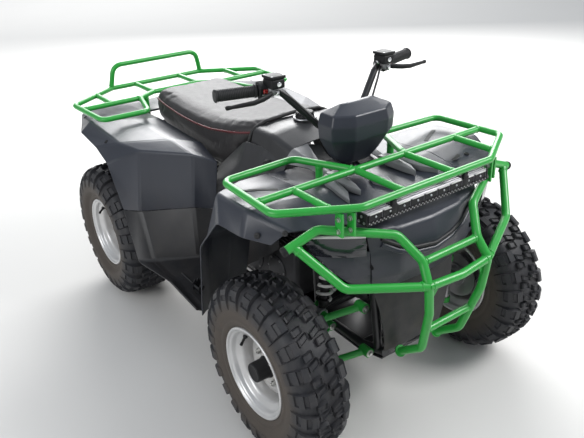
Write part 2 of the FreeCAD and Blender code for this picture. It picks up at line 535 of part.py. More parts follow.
pod_rows = [                          # z, half width, y front, y back
    (775, 58, -482, POD_BACK_Y - 3), (800, 78, -508, POD_BACK_Y), (872, 122, -552, POD_BACK_Y),
    (935, 120, -540, POD_BACK_Y), (968, 100, -500, POD_BACK_Y)]
sections = []
for z, w, y_front, y_back in pod_rows:
    side_y = y_front + 0.35 * (y_back - y_front)
    pts = [V(-w, y_back, z), V(-w, side_y, z), V(-w * 0.5, y_front, z), V(w * 0.5, y_front, z),
           V(w, side_y, z), V(w, y_back, z)]
    sections.append(Part.makePolygon(pts + [pts[0]]))
node("pod", Part.makeLoft(sections, True, True))

# Hoses and cables from the controls down the front of the column
HOSE_R = 3.5
hose = tube([(hold.x - 34, hold.y - 24, hold.z - 2), (170, -388, 985), (92, -428, 893), (45, -434, 842),
             (24, -434, 795), (20, -447, 735), (19, -460, 682)], HOSE_R, 60)
node("cables", both(hose))

for name, shape in NODES.items():
    state = "ok" if shape.isValid() and shape.Volume > 0 else "BAD"
    print(name, state, len(shape.Solids), "solids", round(shape.Volume / 1000), "cm3")
    shape.exportStep("parts/" + name + ".step")
print(len(NODES), "nodes")
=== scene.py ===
# %% [markdown]
# # A utility quad bike
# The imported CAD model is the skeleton: every node already has its place, its body and its joints.
# This script dresses it. Plain solids get finished surfaces, and where a part needs more than the
# solid shows, such as tread, springs or a stitched seat, a detailed piece stands for the node.

# %% Load the frame
import math
import bpy
import bmesh
from mathutils import Matrix, Vector
from mathutils.bvhtree import BVHTree


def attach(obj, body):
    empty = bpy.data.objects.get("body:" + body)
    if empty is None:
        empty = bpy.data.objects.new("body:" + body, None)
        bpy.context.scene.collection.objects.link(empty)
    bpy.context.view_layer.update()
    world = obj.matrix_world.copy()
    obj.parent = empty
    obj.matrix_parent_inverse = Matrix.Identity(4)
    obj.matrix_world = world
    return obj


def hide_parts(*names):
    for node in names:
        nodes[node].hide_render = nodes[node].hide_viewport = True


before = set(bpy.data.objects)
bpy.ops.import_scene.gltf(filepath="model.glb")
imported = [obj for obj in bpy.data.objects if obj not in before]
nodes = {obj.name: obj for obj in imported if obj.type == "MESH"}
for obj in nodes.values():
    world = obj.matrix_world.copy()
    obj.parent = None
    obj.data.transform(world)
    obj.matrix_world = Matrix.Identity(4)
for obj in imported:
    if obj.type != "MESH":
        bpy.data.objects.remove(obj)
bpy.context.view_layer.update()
scene = bpy.context.scene

# %% [markdown]
# ## The camera
# A quad looks right from the height of a person standing in front of its right shoulder. The place,
# turn and lens were solved from the racks, wheels and bumper, so the outlines fall where they should.

# %% Camera
CAMERA_AT = Vector((-1.24557, -1.89317, 1.51581))
AZIMUTH, ELEVATION, ROLL = (math.radians(a) for a in (-35.13249, 26.51970, -2.40273))
look = Vector((-math.sin(AZIMUTH) * math.cos(ELEVATION), math.cos(AZIMUTH) * math.cos(ELEVATION),
    -math.sin(ELEVATION)))
right = look.cross(Vector((0, 0, 1))).normalized()
upward = right.cross(look)
across = right * math.cos(ROLL) + upward * math.sin(ROLL)
upward = upward * math.cos(ROLL) - right * math.sin(ROLL)
camera_data = bpy.data.cameras.new("studio_camera")
camera_data.lens = 40.116
camera = bpy.data.objects.new("studio_camera", camera_data)
camera.matrix_world = Matrix.Translation(CAMERA_AT) @ Matrix((across, upward, -look)).transposed().to_4x4()
scene.collection.objects.link(camera)
scene.camera = camera
scene.view_settings.view_transform = "Standard"

# %% [markdown]
# ## Graphs in plain arithmetic
# Node trees are easier to read as formulas. `Value` wraps a socket, so that `1 - mask * 0.3` adds the
# Math nodes by itself, and `Graph.node` adds any other node from its type, settings and inputs.

# %% Node helpers
class Value:
    """A number or colour that varies; arithmetic on a number adds Math nodes."""

    def __init__(self, graph, socket):
        self.graph, self.socket = graph, socket

    def math(self, operation, first, second=0.0):
        return self.graph.node("ShaderNodeMath", {"operation": operation}, {0: first, 1: second})

    def __add__(self, other):
        return self.math("ADD", self, other)

    def __sub__(self, other):
        return self.math("SUBTRACT", self, other)

    def __rsub__(self, other):
        return self.math("SUBTRACT", other, self)

    def __mul__(self, other):
        return self.math("MULTIPLY", self, other)

    def __truediv__(self, other):
        return self.math("DIVIDE", self, other)

    def __pow__(self, other):
        return self.math("POWER", self, other)

    __radd__, __rmul__ = __add__, __mul__

    def limit(self):
        return self.graph.node("ShaderNodeClamp", {}, {"Value": self})


class Graph:
    """Adds nodes to a tree and links what it is given."""

    def __init__(self, tree):
        self.tree = tree

    def feed(self, socket, value):
        if isinstance(value, Value):
            self.tree.links.new(value.socket, socket)
        else:
            socket.default_value = value

    def node(self, kind, settings=None, inputs=None, output=0):
        made = self.tree.nodes.new(kind)
        for key, value in (settings or {}).items():
            if key == "stops":
                ramp = made.color_ramp
                while len(ramp.elements) < len(value):
                    ramp.elements.new(0.5)
                for element, (at, colour) in zip(ramp.elements, value):
                    element.position, element.color = at, colour
            else:
                setattr(made, key, value)
        for key, value in (inputs or {}).items():
            self.feed(made.inputs[key], value)
        return Value(self, made.outputs[output])

    def mix(self, mask, first, second):
        """Colour first where mask is 0 and second where it is 1."""
        made = self.tree.nodes.new("ShaderNodeMix")
        made.data_type = "RGBA"
        for key, value in ((0, mask), (6, first), (7, second)):
            self.feed(made.inputs[key], value)
        return Value(self, made.outputs[2])


class Finish(Graph):
    """One procedural material. Fixed values sit on the shader; what varies is fed to it."""

    def __init__(self, name, **fixed):
        self.material = bpy.data.materials.new(name)
        self.material.use_nodes = True
        super().__init__(self.material.node_tree)
        self.shader = self.tree.nodes["Principled BSDF"]
        for key, value in fixed.items():
            self.shader.inputs[key.replace("_", " ")].default_value = value
        self.place = self.node("ShaderNodeTexCoord", output=3)
        self.bumps = None

    def noise(self, size, detail=3.0, roughness=0.55):
        """Soft noise from 0 to 1 whose blotches are about size metres wide."""
        return self.node("ShaderNodeTexNoise", {}, {"Vector": self.place, "Scale": 1 / size,
            "Detail": detail, "Roughness": roughness})

    def cells(self, size):
        """Cells about size metres wide: 0 in the middle of each, rising to its edge."""
        return self.node("ShaderNodeTexVoronoi", {}, {"Vector": self.place, "Scale": 1 / size})

    def step(self, value, low, high):
        """0 below low, 1 above high, straight between."""
        return self.node("ShaderNodeMapRange", {}, {"Value": value, "From Min": low, "From Max": high})

    def axis(self, number):
        return self.node("ShaderNodeSeparateXYZ", {}, {0: self.place}, number)

    def bump(self, height, depth, strength=1.0):
        """Adds relief: height from 0 to 1, depth in metres."""
        inputs = {"Height": height, "Distance": depth, "Strength": strength}
        if self.bumps:
            inputs["Normal"] = self.bumps
        self.bumps = self.node("ShaderNodeBump", {}, inputs)
        self.feed(self.shader.inputs["Normal"], self.bumps)

    def colour(self, value):
        self.feed(self.shader.inputs["Base Color"], value)

    def rough(self, value):
        self.feed(self.shader.inputs["Roughness"], value)


def rgb(red, green, blue):
    return (red, green, blue, 1.0)


# %% [markdown]
# ## Light and floor
# A quad is mostly dark plastic, and dark plastic shows only what it mirrors. So the studio has one wide
# soft box behind the machine, low enough to be seen in the flat tops of the panels, a key over its left
# shoulder, a weak fill on its right, a far box for the floor behind and an even, dim surround. The floor
# is pale and keeps the shadow.

# %% Light and floor
def soft_box(name, at, aim, size, power):
    data = bpy.data.lights.new(name, "AREA")
    data.shape, data.size, data.size_y, data.energy = "RECTANGLE", size[0], size[1], power
    lamp = bpy.data.objects.new(name, data)
    lamp.location = at
    lamp.rotation_euler = (Vector(aim) - Vector(at)).to_track_quat("-Z", "Y").to_euler()
    scene.collection.objects.link(lamp)
    return lamp


soft_box("back_box", (2.9, 3.7, 2.9), (0.0, 0.0, 0.6), (5.2, 2.2), 330)
soft_box("key_box", (2.6, -2.6, 3.4), (0.0, -0.2, 0.4), (1.6, 1.6), 150)
soft_box("side_box", (-3.4, -0.6, 2.2), (0.0, 0.0, 0.5), (2.4, 1.8), 60)
soft_box("far_box", (3.0, 9.5, 6.5), (4.0, 10.5, 0.0), (9.0, 7.0), 620)

world = bpy.data.worlds.new("studio")
scene.world = world
world.use_nodes = True
sky = Graph(world.node_tree)
background = world.node_tree.nodes["Background"]
height = sky.node("ShaderNodeSeparateXYZ", {}, {0: sky.node("ShaderNodeTexCoord", output=0)}, 2)
glow = sky.node("ShaderNodeValToRGB", {"stops": [(0.0, rgb(0.34, 0.35, 0.36)),
    (1.0, rgb(0.78, 0.84, 0.92))]}, {0: height})
sky.feed(background.inputs["Color"], glow)
background.inputs["Strength"].default_value = 0.72

floor_mesh = bpy.data.meshes.new("floor")
FLOOR_HALF = 30.0
floor_mesh.from_pydata([(-FLOOR_HALF, -FLOOR_HALF, 0), (FLOOR_HALF, -FLOOR_HALF, 0),
    (FLOOR_HALF, FLOOR_HALF, 0), (-FLOOR_HALF, FLOOR_HALF, 0)], [], [(0, 1, 2, 3)])
floor = bpy.data.objects.new("floor", floor_mesh)
scene.collection.objects.link(floor)
pale = Finish("pale_floor", Roughness=0.85)
pale.colour(pale.mix(pale.noise(0.8) * 0.5, rgb(0.66, 0.65, 0.63), rgb(0.71, 0.70, 0.68)))
floor_mesh.materials.append(pale.material)

# %% [markdown]
# ## Finishes
# The steel tubes are powder coated: an even satin colour over a very fine orange peel. The mouldings
# are grained polypropylene, which catches a broad pale sheen on top and stays near black at the sides.

# %% Painted steel
def powder_coat(name, colour, roughness, coat=0.25):
    coat_finish = Finish(name, Coat_Weight=coat, Coat_Roughness=0.28)
    tone = coat_finish.noise(0.06, 4.0)
    deep = rgb(*(c * 0.86 for c in colour))
    coat_finish.colour(coat_finish.mix(tone, deep, rgb(*colour)))
    coat_finish.rough(coat_finish.noise(0.02) * 0.12 + (roughness - 0.06))
    coat_finish.bump(coat_finish.noise(0.0022, 2.0), 0.00012)
    return coat_finish.material


GREEN = powder_coat("green_powder_coat", (0.022, 0.36, 0.045), 0.34, 0.12)
BLACK_STEEL = powder_coat("black_powder_coat", (0.012, 0.012, 0.014), 0.38)
EXHAUST = powder_coat("heat_paint", (0.02, 0.02, 0.022), 0.55, 0.0)
# Pale grey paint for the coil springs; the same colour paints highlights along the upper edges of the
# headlights and the light cells.
SPRING_PAINT_AND_HIGHLIGHT = powder_coat("spring_paint", (0.62, 0.62, 0.60), 0.35)


# %% Moulded plastics
def moulding(name, colour, roughness, grain=0.0011, depth=0.00010, dust=0.35, lift=0.0, shine=0.55):
    """Grained plastic with a little dust that has settled low down and in blotches."""
    part = Finish(name, Specular_IOR_Level=shine)
    settled = part.step(part.axis(2), 0.62, 0.20) * part.step(part.noise(0.05, 5.0), 0.38, 0.72) * dust
    settled = settled + part.step(part.noise(0.011, 4.0), 0.62, 0.80) * lift
    tone = part.mix(part.noise(0.12), rgb(*(c * 0.85 for c in colour)), rgb(*(c * 1.12 for c in colour)))
    part.colour(part.mix(settled.limit(), tone, rgb(0.115, 0.098, 0.080)))
    part.rough(part.noise(0.03, 4.0) * 0.14 + settled * 0.3 + (roughness - 0.07))
    part.bump(part.cells(grain), depth)
    return part.material


FENDER = moulding("fender_plastic", (0.026, 0.030, 0.042), 0.36)
# Grey trim for the hood blades and wedge; on the neck over the tank cover's crest the same pale colour is a
# painted highlight.
PALE_TRIM_AND_HIGHLIGHT = moulding("trim_plastic", (0.21, 0.212, 0.222), 0.40)
TANK = moulding("tank_plastic", (0.022, 0.022, 0.024), 0.37)
FOOT = moulding("foot_plastic", (0.012, 0.012, 0.014), 0.46, dust=0.16, lift=0.06)
CONTROL = moulding("control_plastic", (0.010, 0.010, 0.011), 0.52, 0.0007, 0.00005, 0.0, shine=0.30)
# Near-black inner plastic, also used for the dark sheets that fill shaded spaces as painted shade.
GRILLE_AND_SHADE_FILL = moulding("inner_plastic", (0.010, 0.010, 0.011), 0.55)


# %% Metals
def metal(name, colour, roughness, streak=0.01, metallic=1.0):
    part = Finish(name, Metallic=metallic)
    part.colour(part.mix(part.noise(streak, 4.0), rgb(*(c * 0.82 for c in colour)), rgb(*colour)))
    part.rough(part.noise(streak * 0.5, 3.0) * 0.18 + (roughness - 0.09))
    part.bump(part.noise(0.0015, 2.0), 0.00006)
    return part.material


ZINC = metal("zinc_steel", (0.62, 0.62, 0.60), 0.32)
MACHINED = metal("machined_steel", (0.40, 0.40, 0.41), 0.34)
CAST = metal("cast_alloy", (0.34, 0.34, 0.35), 0.52, 0.004, 0.85)
LIGHT_ALLOY = metal("finned_alloy", (0.40, 0.39, 0.41), 0.46)
CHROME = metal("chrome", (0.86, 0.87, 0.88), 0.12)
# The engine alloy is near black as painted shade: the engine stands in shadow between the panels.
ENGINE_PAINTED_SHADE = metal("engine_alloy", (0.075, 0.075, 0.080), 0.50, 0.004, 0.6)
SMOKED = metal("smoked_reflector", (0.10, 0.10, 0.11), 0.22, 0.002)


# %% Rubber, vinyl and lenses
def rubber(name, colour, roughness):
    part = Finish(name, Specular_IOR_Level=0.45)
    part.colour(part.mix(part.noise(0.02, 4.0), rgb(*(c * 0.75 for c in colour)),
        rgb(*(c * 1.2 for c in colour))))
    part.rough(part.noise(0.008) * 0.16 + (roughness - 0.08))
    part.bump(part.noise(0.0012, 2.0), 0.00012)
    return part.material


GRIP = rubber("grip_rubber", (0.016, 0.016, 0.017), 0.58)
HOSE = rubber("hose_sheath", (0.011, 0.011, 0.012), 0.42)


def tinted(name, colour, roughness=0.12, ribs=0.0):
    part = Finish(name, Coat_Weight=0.6, Coat_Roughness=0.06)
    part.colour(part.mix(part.noise(0.03), rgb(*(c * 0.7 for c in colour)), rgb(*colour)))
    part.rough(part.noise(0.01) * 0.05 + roughness)
    if ribs:
        wave = part.node("ShaderNodeTexWave", {"bands_direction": "X"},
            {"Vector": part.place, "Scale": ribs})
        part.bump(wave, 0.0012)
    return part.material


DARK_LENS = tinted("dark_lens", (0.016, 0.018, 0.025), 0.16)
RED_LENS = tinted("red_lens", (0.42, 0.012, 0.012), 0.10, 40)
CLEAR_LENS = tinted("lamp_reflector", (0.60, 0.62, 0.64), 0.10, 60)

VINYL = Finish("seat_vinyl", Specular_IOR_Level=0.30, Sheen_Weight=0.06, Sheen_Roughness=0.4)
# Soft blotches of darker colour paint the shade of folds into the vinyl.
fold_shade = VINYL.noise(0.09, 3.0)
VINYL.colour(VINYL.mix(fold_shade, rgb(0.018, 0.017, 0.018), rgb(0.034, 0.032, 0.033)))
VINYL.rough(VINYL.noise(0.02, 4.0) * 0.14 + 0.40)
VINYL.bump(VINYL.cells(0.0021), 0.00022)
VINYL.bump(VINYL.noise(0.045, 3.0), 0.0012, 0.6)
PIPING = rubber("seat_piping", (0.105, 0.012, 0.016), 0.45)
AXLE_Y = {"front": -0.600, "rear": 0.543}
AXLE_Z = 0.279


def tyre_rubber(name, axle_y):
    """Black tread over a sidewall that is brown with dust, told apart by the distance from the axle."""
    part = Finish(name, Specular_IOR_Level=0.4)
    y, z = part.axis(1) - axle_y, part.axis(2) - AXLE_Z
    radius = (y * y + z * z) ** 0.5
    blotch = part.step(part.noise(0.035, 5.0, 0.65), 0.25, 0.75)
    side = part.step(radius, 0.232, 0.190)
    dusty = (side * 0.62 + blotch * 0.22 + part.step(part.noise(0.006, 4.0), 0.55, 0.8) * 0.12).limit()
    tread = part.mix(blotch, rgb(0.016, 0.018, 0.023), rgb(0.028, 0.030, 0.036))
    part.colour(part.mix(dusty, tread, rgb(0.082, 0.066, 0.052)))
    part.rough(dusty * 0.25 + 0.50)
    part.bump(part.noise(0.004, 4.0), 0.0004)
    part.bump(part.noise(0.0012, 2.0), 0.00015)
    return part.material


TYRE = {end: tyre_rubber(end + "_tyre_rubber", y) for end, y in AXLE_Y.items()}


def wheel_paint(name, axle_y):
    """Silver enamel that has kept road dust in the well of the rim."""
    part = Finish(name, Metallic=0.55, Coat_Weight=0.2)
    y, z = part.axis(1) - axle_y, part.axis(2) - AXLE_Z
    radius = (y * y + z * z) ** 0.5
    grime = part.step(radius, 0.128, 0.060) * part.step(part.noise(0.03, 5.0), 0.3, 0.7) * 0.45
    part.colour(part.mix(grime, rgb(0.60, 0.60, 0.60), rgb(0.30, 0.25, 0.19)))
    part.rough(grime * 0.4 + part.noise(0.01) * 0.1 + 0.30)
    part.bump(part.noise(0.0025, 2.0), 0.00010)
    return part.material


SILVER = {end: wheel_paint(end + "_wheel_silver", y) for end, y in AXLE_Y.items()}

# %% [markdown]
# ## Helpers for meshes
# Each helper makes one kind of surface the way the workshop makes the real one: `lathe` turns, `moulded`
# gives a panel its wall, `tubes` bends pipe, and `repeat` sets the same small part many times.

# %% Mesh helpers
def link(name, mesh):
    made = bpy.data.objects.new(name, mesh)
    scene.collection.objects.link(made)
    return made


def raw(name, points, faces, material):
    mesh = bpy.data.meshes.new(name)
    mesh.from_pydata([tuple(p) for p in points], [], faces)
    mesh.materials.append(material)
    return link(name, mesh)


def solid_normals(made, merge=1e-5):
    """Merges doubles and points every face of a closed shape outwards."""
    work = bmesh.new()
    work.from_mesh(made.data)
    bmesh.ops.remove_doubles(work, verts=work.verts, dist=merge)
    bmesh.ops.recalc_face_normals(work, faces=work.faces)
    work.to_mesh(made.data)
    work.free()
    return made


def modifier(made, kind, **settings):
    added = made.modifiers.new(kind.lower(), kind)
    for key, value in settings.items():
        setattr(added, key, value)
    return added


def plain(made):
    """The evaluated object as a plain mesh with no modifiers left."""
    shown = made.evaluated_get(bpy.context.evaluated_depsgraph_get())
    mesh = bpy.data.meshes.new_from_object(shown)
    name = made.name
    bpy.data.objects.remove(made)
    return link(name, mesh)


def smooth(made, angle=35.0):
    """Smooth shading with sharp edges kept where faces meet at more than the angle."""
    mesh = made.data
    mesh.shade_smooth()
    mesh.set_sharp_from_angle(angle=math.radians(angle))
    return made


def join(name, parts):
    keep = parts[0]
    with bpy.context.temp_override(active_object=keep, object=keep, selected_objects=parts,
            selected_editable_objects=parts):
        bpy.ops.object.join()
    keep.name = keep.data.name = name
    return keep


def moved(made, matrix):
    made.data.transform(matrix)
    if matrix.determinant() < 0:
        made.data.flip_normals()
    return made


def copy_of(made, name, matrix=None):
    twin = link(name, made.data.copy())
    return moved(twin, matrix) if matrix else twin


FLIP = Matrix.Scale(-1, 4, (1, 0, 0))


def both_sides(made):
    """The part and its mirror image as one piece."""
    twin = copy_of(made, made.name + "_twin", FLIP)
    return join(made.name, [made, twin])


def place(made, body, slot, *replaced):
    """Rides the piece on its body and hides the nodes that it stands for."""
    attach(made, body)
    if replaced:
        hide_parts(*replaced)
    return made


def rounded(points, radius, steps=3):
    """A flat outline whose inner corners are arcs of about the radius."""
    pts = [Vector(p) for p in points]
    out = [pts[0]]
    for before, corner, after in zip(pts, pts[1:], pts[2:]):
        a, b = (before - corner), (after - corner)
        reach = min(radius, a.length * 0.45, b.length * 0.45)
        start, end = corner + a.normalized() * reach, corner + b.normalized() * reach
        for i in range(steps + 1):
            t = i / steps
            out.append(start * (1 - t) ** 2 + corner * 2 * t * (1 - t) + end * t * t)
    out.append(pts[-1])
    return out


def lathe(name, profile, centre, material, segments=72, axis="X"):
    """Turns (along, radius) points about an axis through the centre; radius 0 closes an end."""
    points, faces, rows = [], [], []
    for along, radius in profile:
        if radius < 1e-6:
            rows.append([len(points)] * segments)
            points.append((along, 0.0, 0.0))
            continue
        rows.append(list(range(len(points), len(points) + segments)))
        for i in range(segments):
            turn = 2 * math.pi * i / segments
            points.append((along, radius * math.sin(turn), radius * math.cos(turn)))
    for low, high in zip(rows, rows[1:]):
        for i in range(segments):
            j = (i + 1) % segments
            corners = [low[i], low[j], high[j], high[i]]
            faces.append(list(dict.fromkeys(corners)))
    made = raw(name, points, faces, material)
    turns = {"X": Matrix(), "Z": Matrix.Rotation(-math.pi / 2, 4, "Y"),
        "Y": Matrix.Rotation(math.pi / 2, 4, "Z")}
    made.data.transform(Matrix.Translation(centre) @ turns[axis])
    return solid_normals(made)


def turned(name, line, soften, material, segments, axis="Z", at=(0, 0, 0), angle=40):
    """A turned part with softened corners, shaded smooth."""
    return smooth(lathe(name, rounded(line, soften), at, material, segments, axis), angle)


def along_matrix(at, direction, spin=0.0):
    """Local Z along the direction, at the point."""
    turn = Vector(direction).to_track_quat("Z", "Y").to_matrix().to_4x4()
    return Matrix.Translation(at) @ turn @ Matrix.Rotation(spin, 4, "Z")


def boxy(name, low, high, material, bevel=0.003, segments=3):
    """A box with rounded edges."""
    x0, y0, z0 = low
    x1, y1, z1 = high
    points = [(x, y, z) for x in (x0, x1) for y in (y0, y1) for z in (z0, z1)]
    faces = [(0, 1, 3, 2), (4, 6, 7, 5), (0, 4, 5, 1), (2, 3, 7, 6), (0, 2, 6, 4), (1, 5, 7, 3)]
    made = solid_normals(raw(name, points, faces, material))
    modifier(made, "BEVEL", width=bevel, segments=segments, limit_method="NONE")
    return smooth(plain(made), 40)


def prism(name, outline, start, end, material, bevel=0.002, axis="X"):
    """An outline of two coordinates pulled along the third axis, with softened edges."""
    order = {"X": lambda a, b, t: (t, a, b), "Y": lambda a, b, t: (a, t, b), "Z": lambda a, b,
        t: (a, b, t)}[axis]
    count = len(outline)
    points = [order(a, b, t) for t in (start, end) for a, b in outline]
    faces = [list(range(count)), list(range(count, 2 * count))]
    faces += [[i, (i + 1) % count, count + (i + 1) % count, count + i] for i in range(count)]
    made = solid_normals(raw(name, points, faces, material))
    modifier(made, "BEVEL", width=bevel, segments=2, limit_method="ANGLE", angle_limit=math.radians(25))
    return smooth(plain(made), 40)


def moulded(name, rows, wall, material, crease=0.008, rim=0.0012, edge_angle=6.0):
    """A moulded panel: a grid of points, its creases rounded, then given a wall and rounded rims."""
    across = len(rows[0])
    points = [Vector(p) / 1000 for row in rows for p in row]
    faces = [(i * across + j, (i + 1) * across + j, (i + 1) * across + j + 1, i * across + j + 1)
        for i in range(len(rows) - 1) for j in range(across - 1)]
    made = raw(name, points, faces, material)
    modifier(made, "BEVEL", width=crease, segments=4, limit_method="ANGLE",
        angle_limit=math.radians(edge_angle), use_clamp_overlap=True, profile=0.5)
    made = plain(made)
    modifier(made, "SOLIDIFY", thickness=abs(wall) / 1000, offset=-1 if wall > 0 else 1,
        use_even_offset=True)
    modifier(made, "BEVEL", width=rim, segments=2, limit_method="ANGLE", angle_limit=math.radians(60))
    modifier(made, "WEIGHTED_NORMAL", keep_sharp=True, weight=60)
    made.data.shade_smooth()
    return plain(made)


# %% [markdown]
# Bent pipe and repeated small parts are Geometry Nodes trees. The pipe tree fillets a polyline with the
# bender's radius and sweeps a circle along it. The other sets one shape on every point of a mesh, turned
# and sized by the point's own attributes. Both end in Realize Instances and Set Material.

# %% Geometry Nodes trees
MM = 0.001


def new_tree(name, sockets):
    tree = bpy.data.node_groups.new(name, "GeometryNodeTree")
    tree.interface.new_socket("Geometry", in_out="INPUT", socket_type="NodeSocketGeometry")
    for label, kind in sockets:
        tree.interface.new_socket(label, in_out="INPUT", socket_type="NodeSocket" + kind)
    tree.interface.new_socket("Geometry", in_out="OUTPUT", socket_type="NodeSocketGeometry")
    graph = Graph(tree)
    inlet = tree.nodes.new("NodeGroupInput")
    values = {s.name: Value(graph, s) for s in inlet.outputs if s.name}
    return graph, values


def close_tree(graph, geometry, material):
    done = graph.node("GeometryNodeRealizeInstances", {}, {0: geometry})
    painted = graph.node("GeometryNodeSetMaterial", {}, {"Geometry": done, "Material": material})
    outlet = graph.tree.nodes.new("NodeGroupOutput")
    graph.feed(outlet.inputs[0], painted)
    return graph.tree


def run_tree(made, tree, **values):
    """Adds the tree with its inputs set by identifier, and returns the plain mesh."""
    added = made.modifiers.new(tree.name, "NODES")
    added.node_group = tree
    for item in tree.interface.items_tree:
        if item.in_out == "INPUT" and item.name in values:
            added[item.identifier] = values[item.name]
    return plain(made)


graph, given = new_tree("bent_pipe", [("Radius", "Float"), ("Bend", "Float"), ("Sides", "Int"),
    ("Material", "Material")])
path = graph.node("GeometryNodeMeshToCurve", {}, {"Mesh": given["Geometry"]})
path = graph.node("GeometryNodeFilletCurve", {"mode": "POLY"}, {"Curve": path, "Count": 6,
    "Radius": given["Bend"], "Limit Radius": True})
profile = graph.node("GeometryNodeCurvePrimitiveCircle", {}, {"Resolution": given["Sides"],
    "Radius": given["Radius"]})
swept = graph.node("GeometryNodeCurveToMesh", {}, {"Curve": path, "Profile Curve": profile,
    "Fill Caps": True})
PIPE = close_tree(graph, swept, given["Material"])

graph, given = new_tree("set_on_points", [("Shape", "Object"), ("Material", "Material")])
shape = graph.node("GeometryNodeObjectInfo", {}, {"Object": given["Shape"]}, "Geometry")
turn = graph.node("GeometryNodeInputNamedAttribute", {"data_type": "FLOAT_VECTOR"}, {"Name": "turn"})
size = graph.node("GeometryNodeInputNamedAttribute", {"data_type": "FLOAT"}, {"Name": "size"})
set_out = graph.node("GeometryNodeInstanceOnPoints", {}, {"Points": given["Geometry"], "Instance": shape,
    "Rotation": turn, "Scale": size})
SET_ON_POINTS = close_tree(graph, set_out, given["Material"])

graph, given = new_tree("coil_spring", [("Turns", "Float"), ("Radius", "Float"), ("Height", "Float"),
    ("Wire", "Float"), ("Material", "Material")])
coil = graph.node("GeometryNodeCurveSpiral", {}, {"Resolution": 32, "Rotations": given["Turns"],
    "Start Radius": given["Radius"], "End Radius": given["Radius"], "Height": given["Height"]})
wire = graph.node("GeometryNodeCurvePrimitiveCircle", {}, {"Resolution": 12, "Radius": given["Wire"]})
COIL = close_tree(graph, graph.node("GeometryNodeCurveToMesh", {}, {"Curve": coil, "Profile Curve": wire,
    "Fill Caps": True}), given["Material"])


def tubes(name, runs, radius, bend, material, sides=24):
    """Bent pipes through the given runs of points, in millimetres."""
    points, edges = [], []
    for run in runs:
        start = len(points)
        points += [Vector(p) * MM for p in run]
        edges += [(i, i + 1) for i in range(start, len(points) - 1)]
    mesh = bpy.data.meshes.new(name)
    mesh.from_pydata(points, edges, [])
    made = run_tree(link(name, mesh), PIPE, Radius=radius * MM, Bend=bend * MM, Sides=sides,
        Material=material)
    return smooth(solid_normals(made, 1e-6), 50)


def repeat(name, shape, matrices, material, angle=35.0):
    """Sets the shape at each matrix (a turn, a place and one even scale)."""
    mesh = bpy.data.meshes.new(name)
    mesh.from_pydata([m.translation for m in matrices], [], [])
    mesh.attributes.new("turn", "FLOAT_VECTOR", "POINT")
    mesh.attributes.new("size", "FLOAT", "POINT")
    for i, m in enumerate(matrices):
        mesh.attributes["turn"].data[i].vector = m.to_euler("XYZ")
        mesh.attributes["size"].data[i].value = m.to_scale()[0]
    made = run_tree(link(name, mesh), SET_ON_POINTS, Shape=shape, Material=material)
    bpy.data.objects.remove(shape)
    return smooth(made, angle)


def mm(*numbers):
    return Vector(numbers) / 1000
# %% [markdown]
# ## The steel that carries everything
# Frame, racks, bumper and arms are round tube on the real machine, and the solids already are. They keep
# their shape and get paint. What the solids leave out is how they are joined: a small raised weld runs
# round the end of every bar, so a ring of bead is set at each joint.

# %% Nodes that keep their own shape
KEPT = {
    GREEN: ["front_rack", "rear_rack", "bumper", "front_arms_left", "front_arms_right"],
    BLACK_STEEL: ["frame", "skid_plate", "tie_rod_left", "tie_rod_right", "swingarm", "tow_hitch",
                  "steering_column", "handlebar"],
    MACHINED: ["rear_axle", "knuckle_left", "knuckle_right"],
    HOSE: ["cables"],
}
for finish, names in KEPT.items():
    for name in names:
        mesh = nodes[name].data
        mesh.materials.clear()
        mesh.materials.append(finish)

# %% [markdown]
# ## Wheels
# A low-pressure tyre is a smooth carcass with ribs that climb over the shoulder, each with hollow blocks
# moulded in its top, and L-shaped blocks down the middle. One pitch of the tread is modelled along
# the carcass, and Geometry Nodes set it all the way round. The rim is pressed steel: a rolled lip, two
# steps down to the well and a flat disc with four studs.

# %% Tyres
BLOCK_DENT = 4.5                      # millimetres, hollow in the top of a block


def smooth_line(control, steps=5):
    """A smooth line through the control points."""
    pts = [Vector(p) for p in control]
    pts = [pts[0] * 2 - pts[1]] + pts + [pts[-1] * 2 - pts[-2]]
    line = []
    for a, b, c, d in zip(pts, pts[1:], pts[2:], pts[3:]):
        for i in range(steps):
            t = i / steps
            line.append(0.5 * (2 * b + (c - a) * t + (2 * a - 5 * b + 4 * c - d) * t * t
                + (3 * b - a - 3 * c + d) * t ** 3))
    return line + [pts[-2]]


def on_line(line, s):
    """The point and outward normal at a distance along the line."""
    for a, b in zip(line, line[1:]):
        step = (b - a).length
        if s <= step:
            run = (b - a).normalized()
            return a + run * s, Vector((-run.y, run.x))
        s -= step
    run = (line[-1] - line[-2]).normalized()
    return line[-1], Vector((-run.y, run.x))


def add_lug(work, line, rows, hollow, side, turn):
    """One block of tread. Rows: distance along the carcass, offset round it, half width, height."""
    rings = []
    for s, offset, half, height in rows:
        at, out = on_line(line, s)
        ring = []
        for lift, reach in ((-3.0, half + 2.5), (height, half), (height, -half), (-3.0, -half - 2.5)):
            p = at + out * lift
            angle = turn + side * (offset + reach) / p.y
            ring.append(work.verts.new((side * p.x, p.y * math.sin(angle), p.y * math.cos(angle))))
        rings.append(ring)
    tops = []
    for k, (low, high) in enumerate(zip(rings, rings[1:])):
        for i in range(3):
            face = work.faces.new((low[i], low[i + 1], high[i + 1], high[i]))
            if i == 1 and k in hollow:
                tops.append(face)
    work.faces.new(rings[0])
    work.faces.new(rings[-1])
    return tops


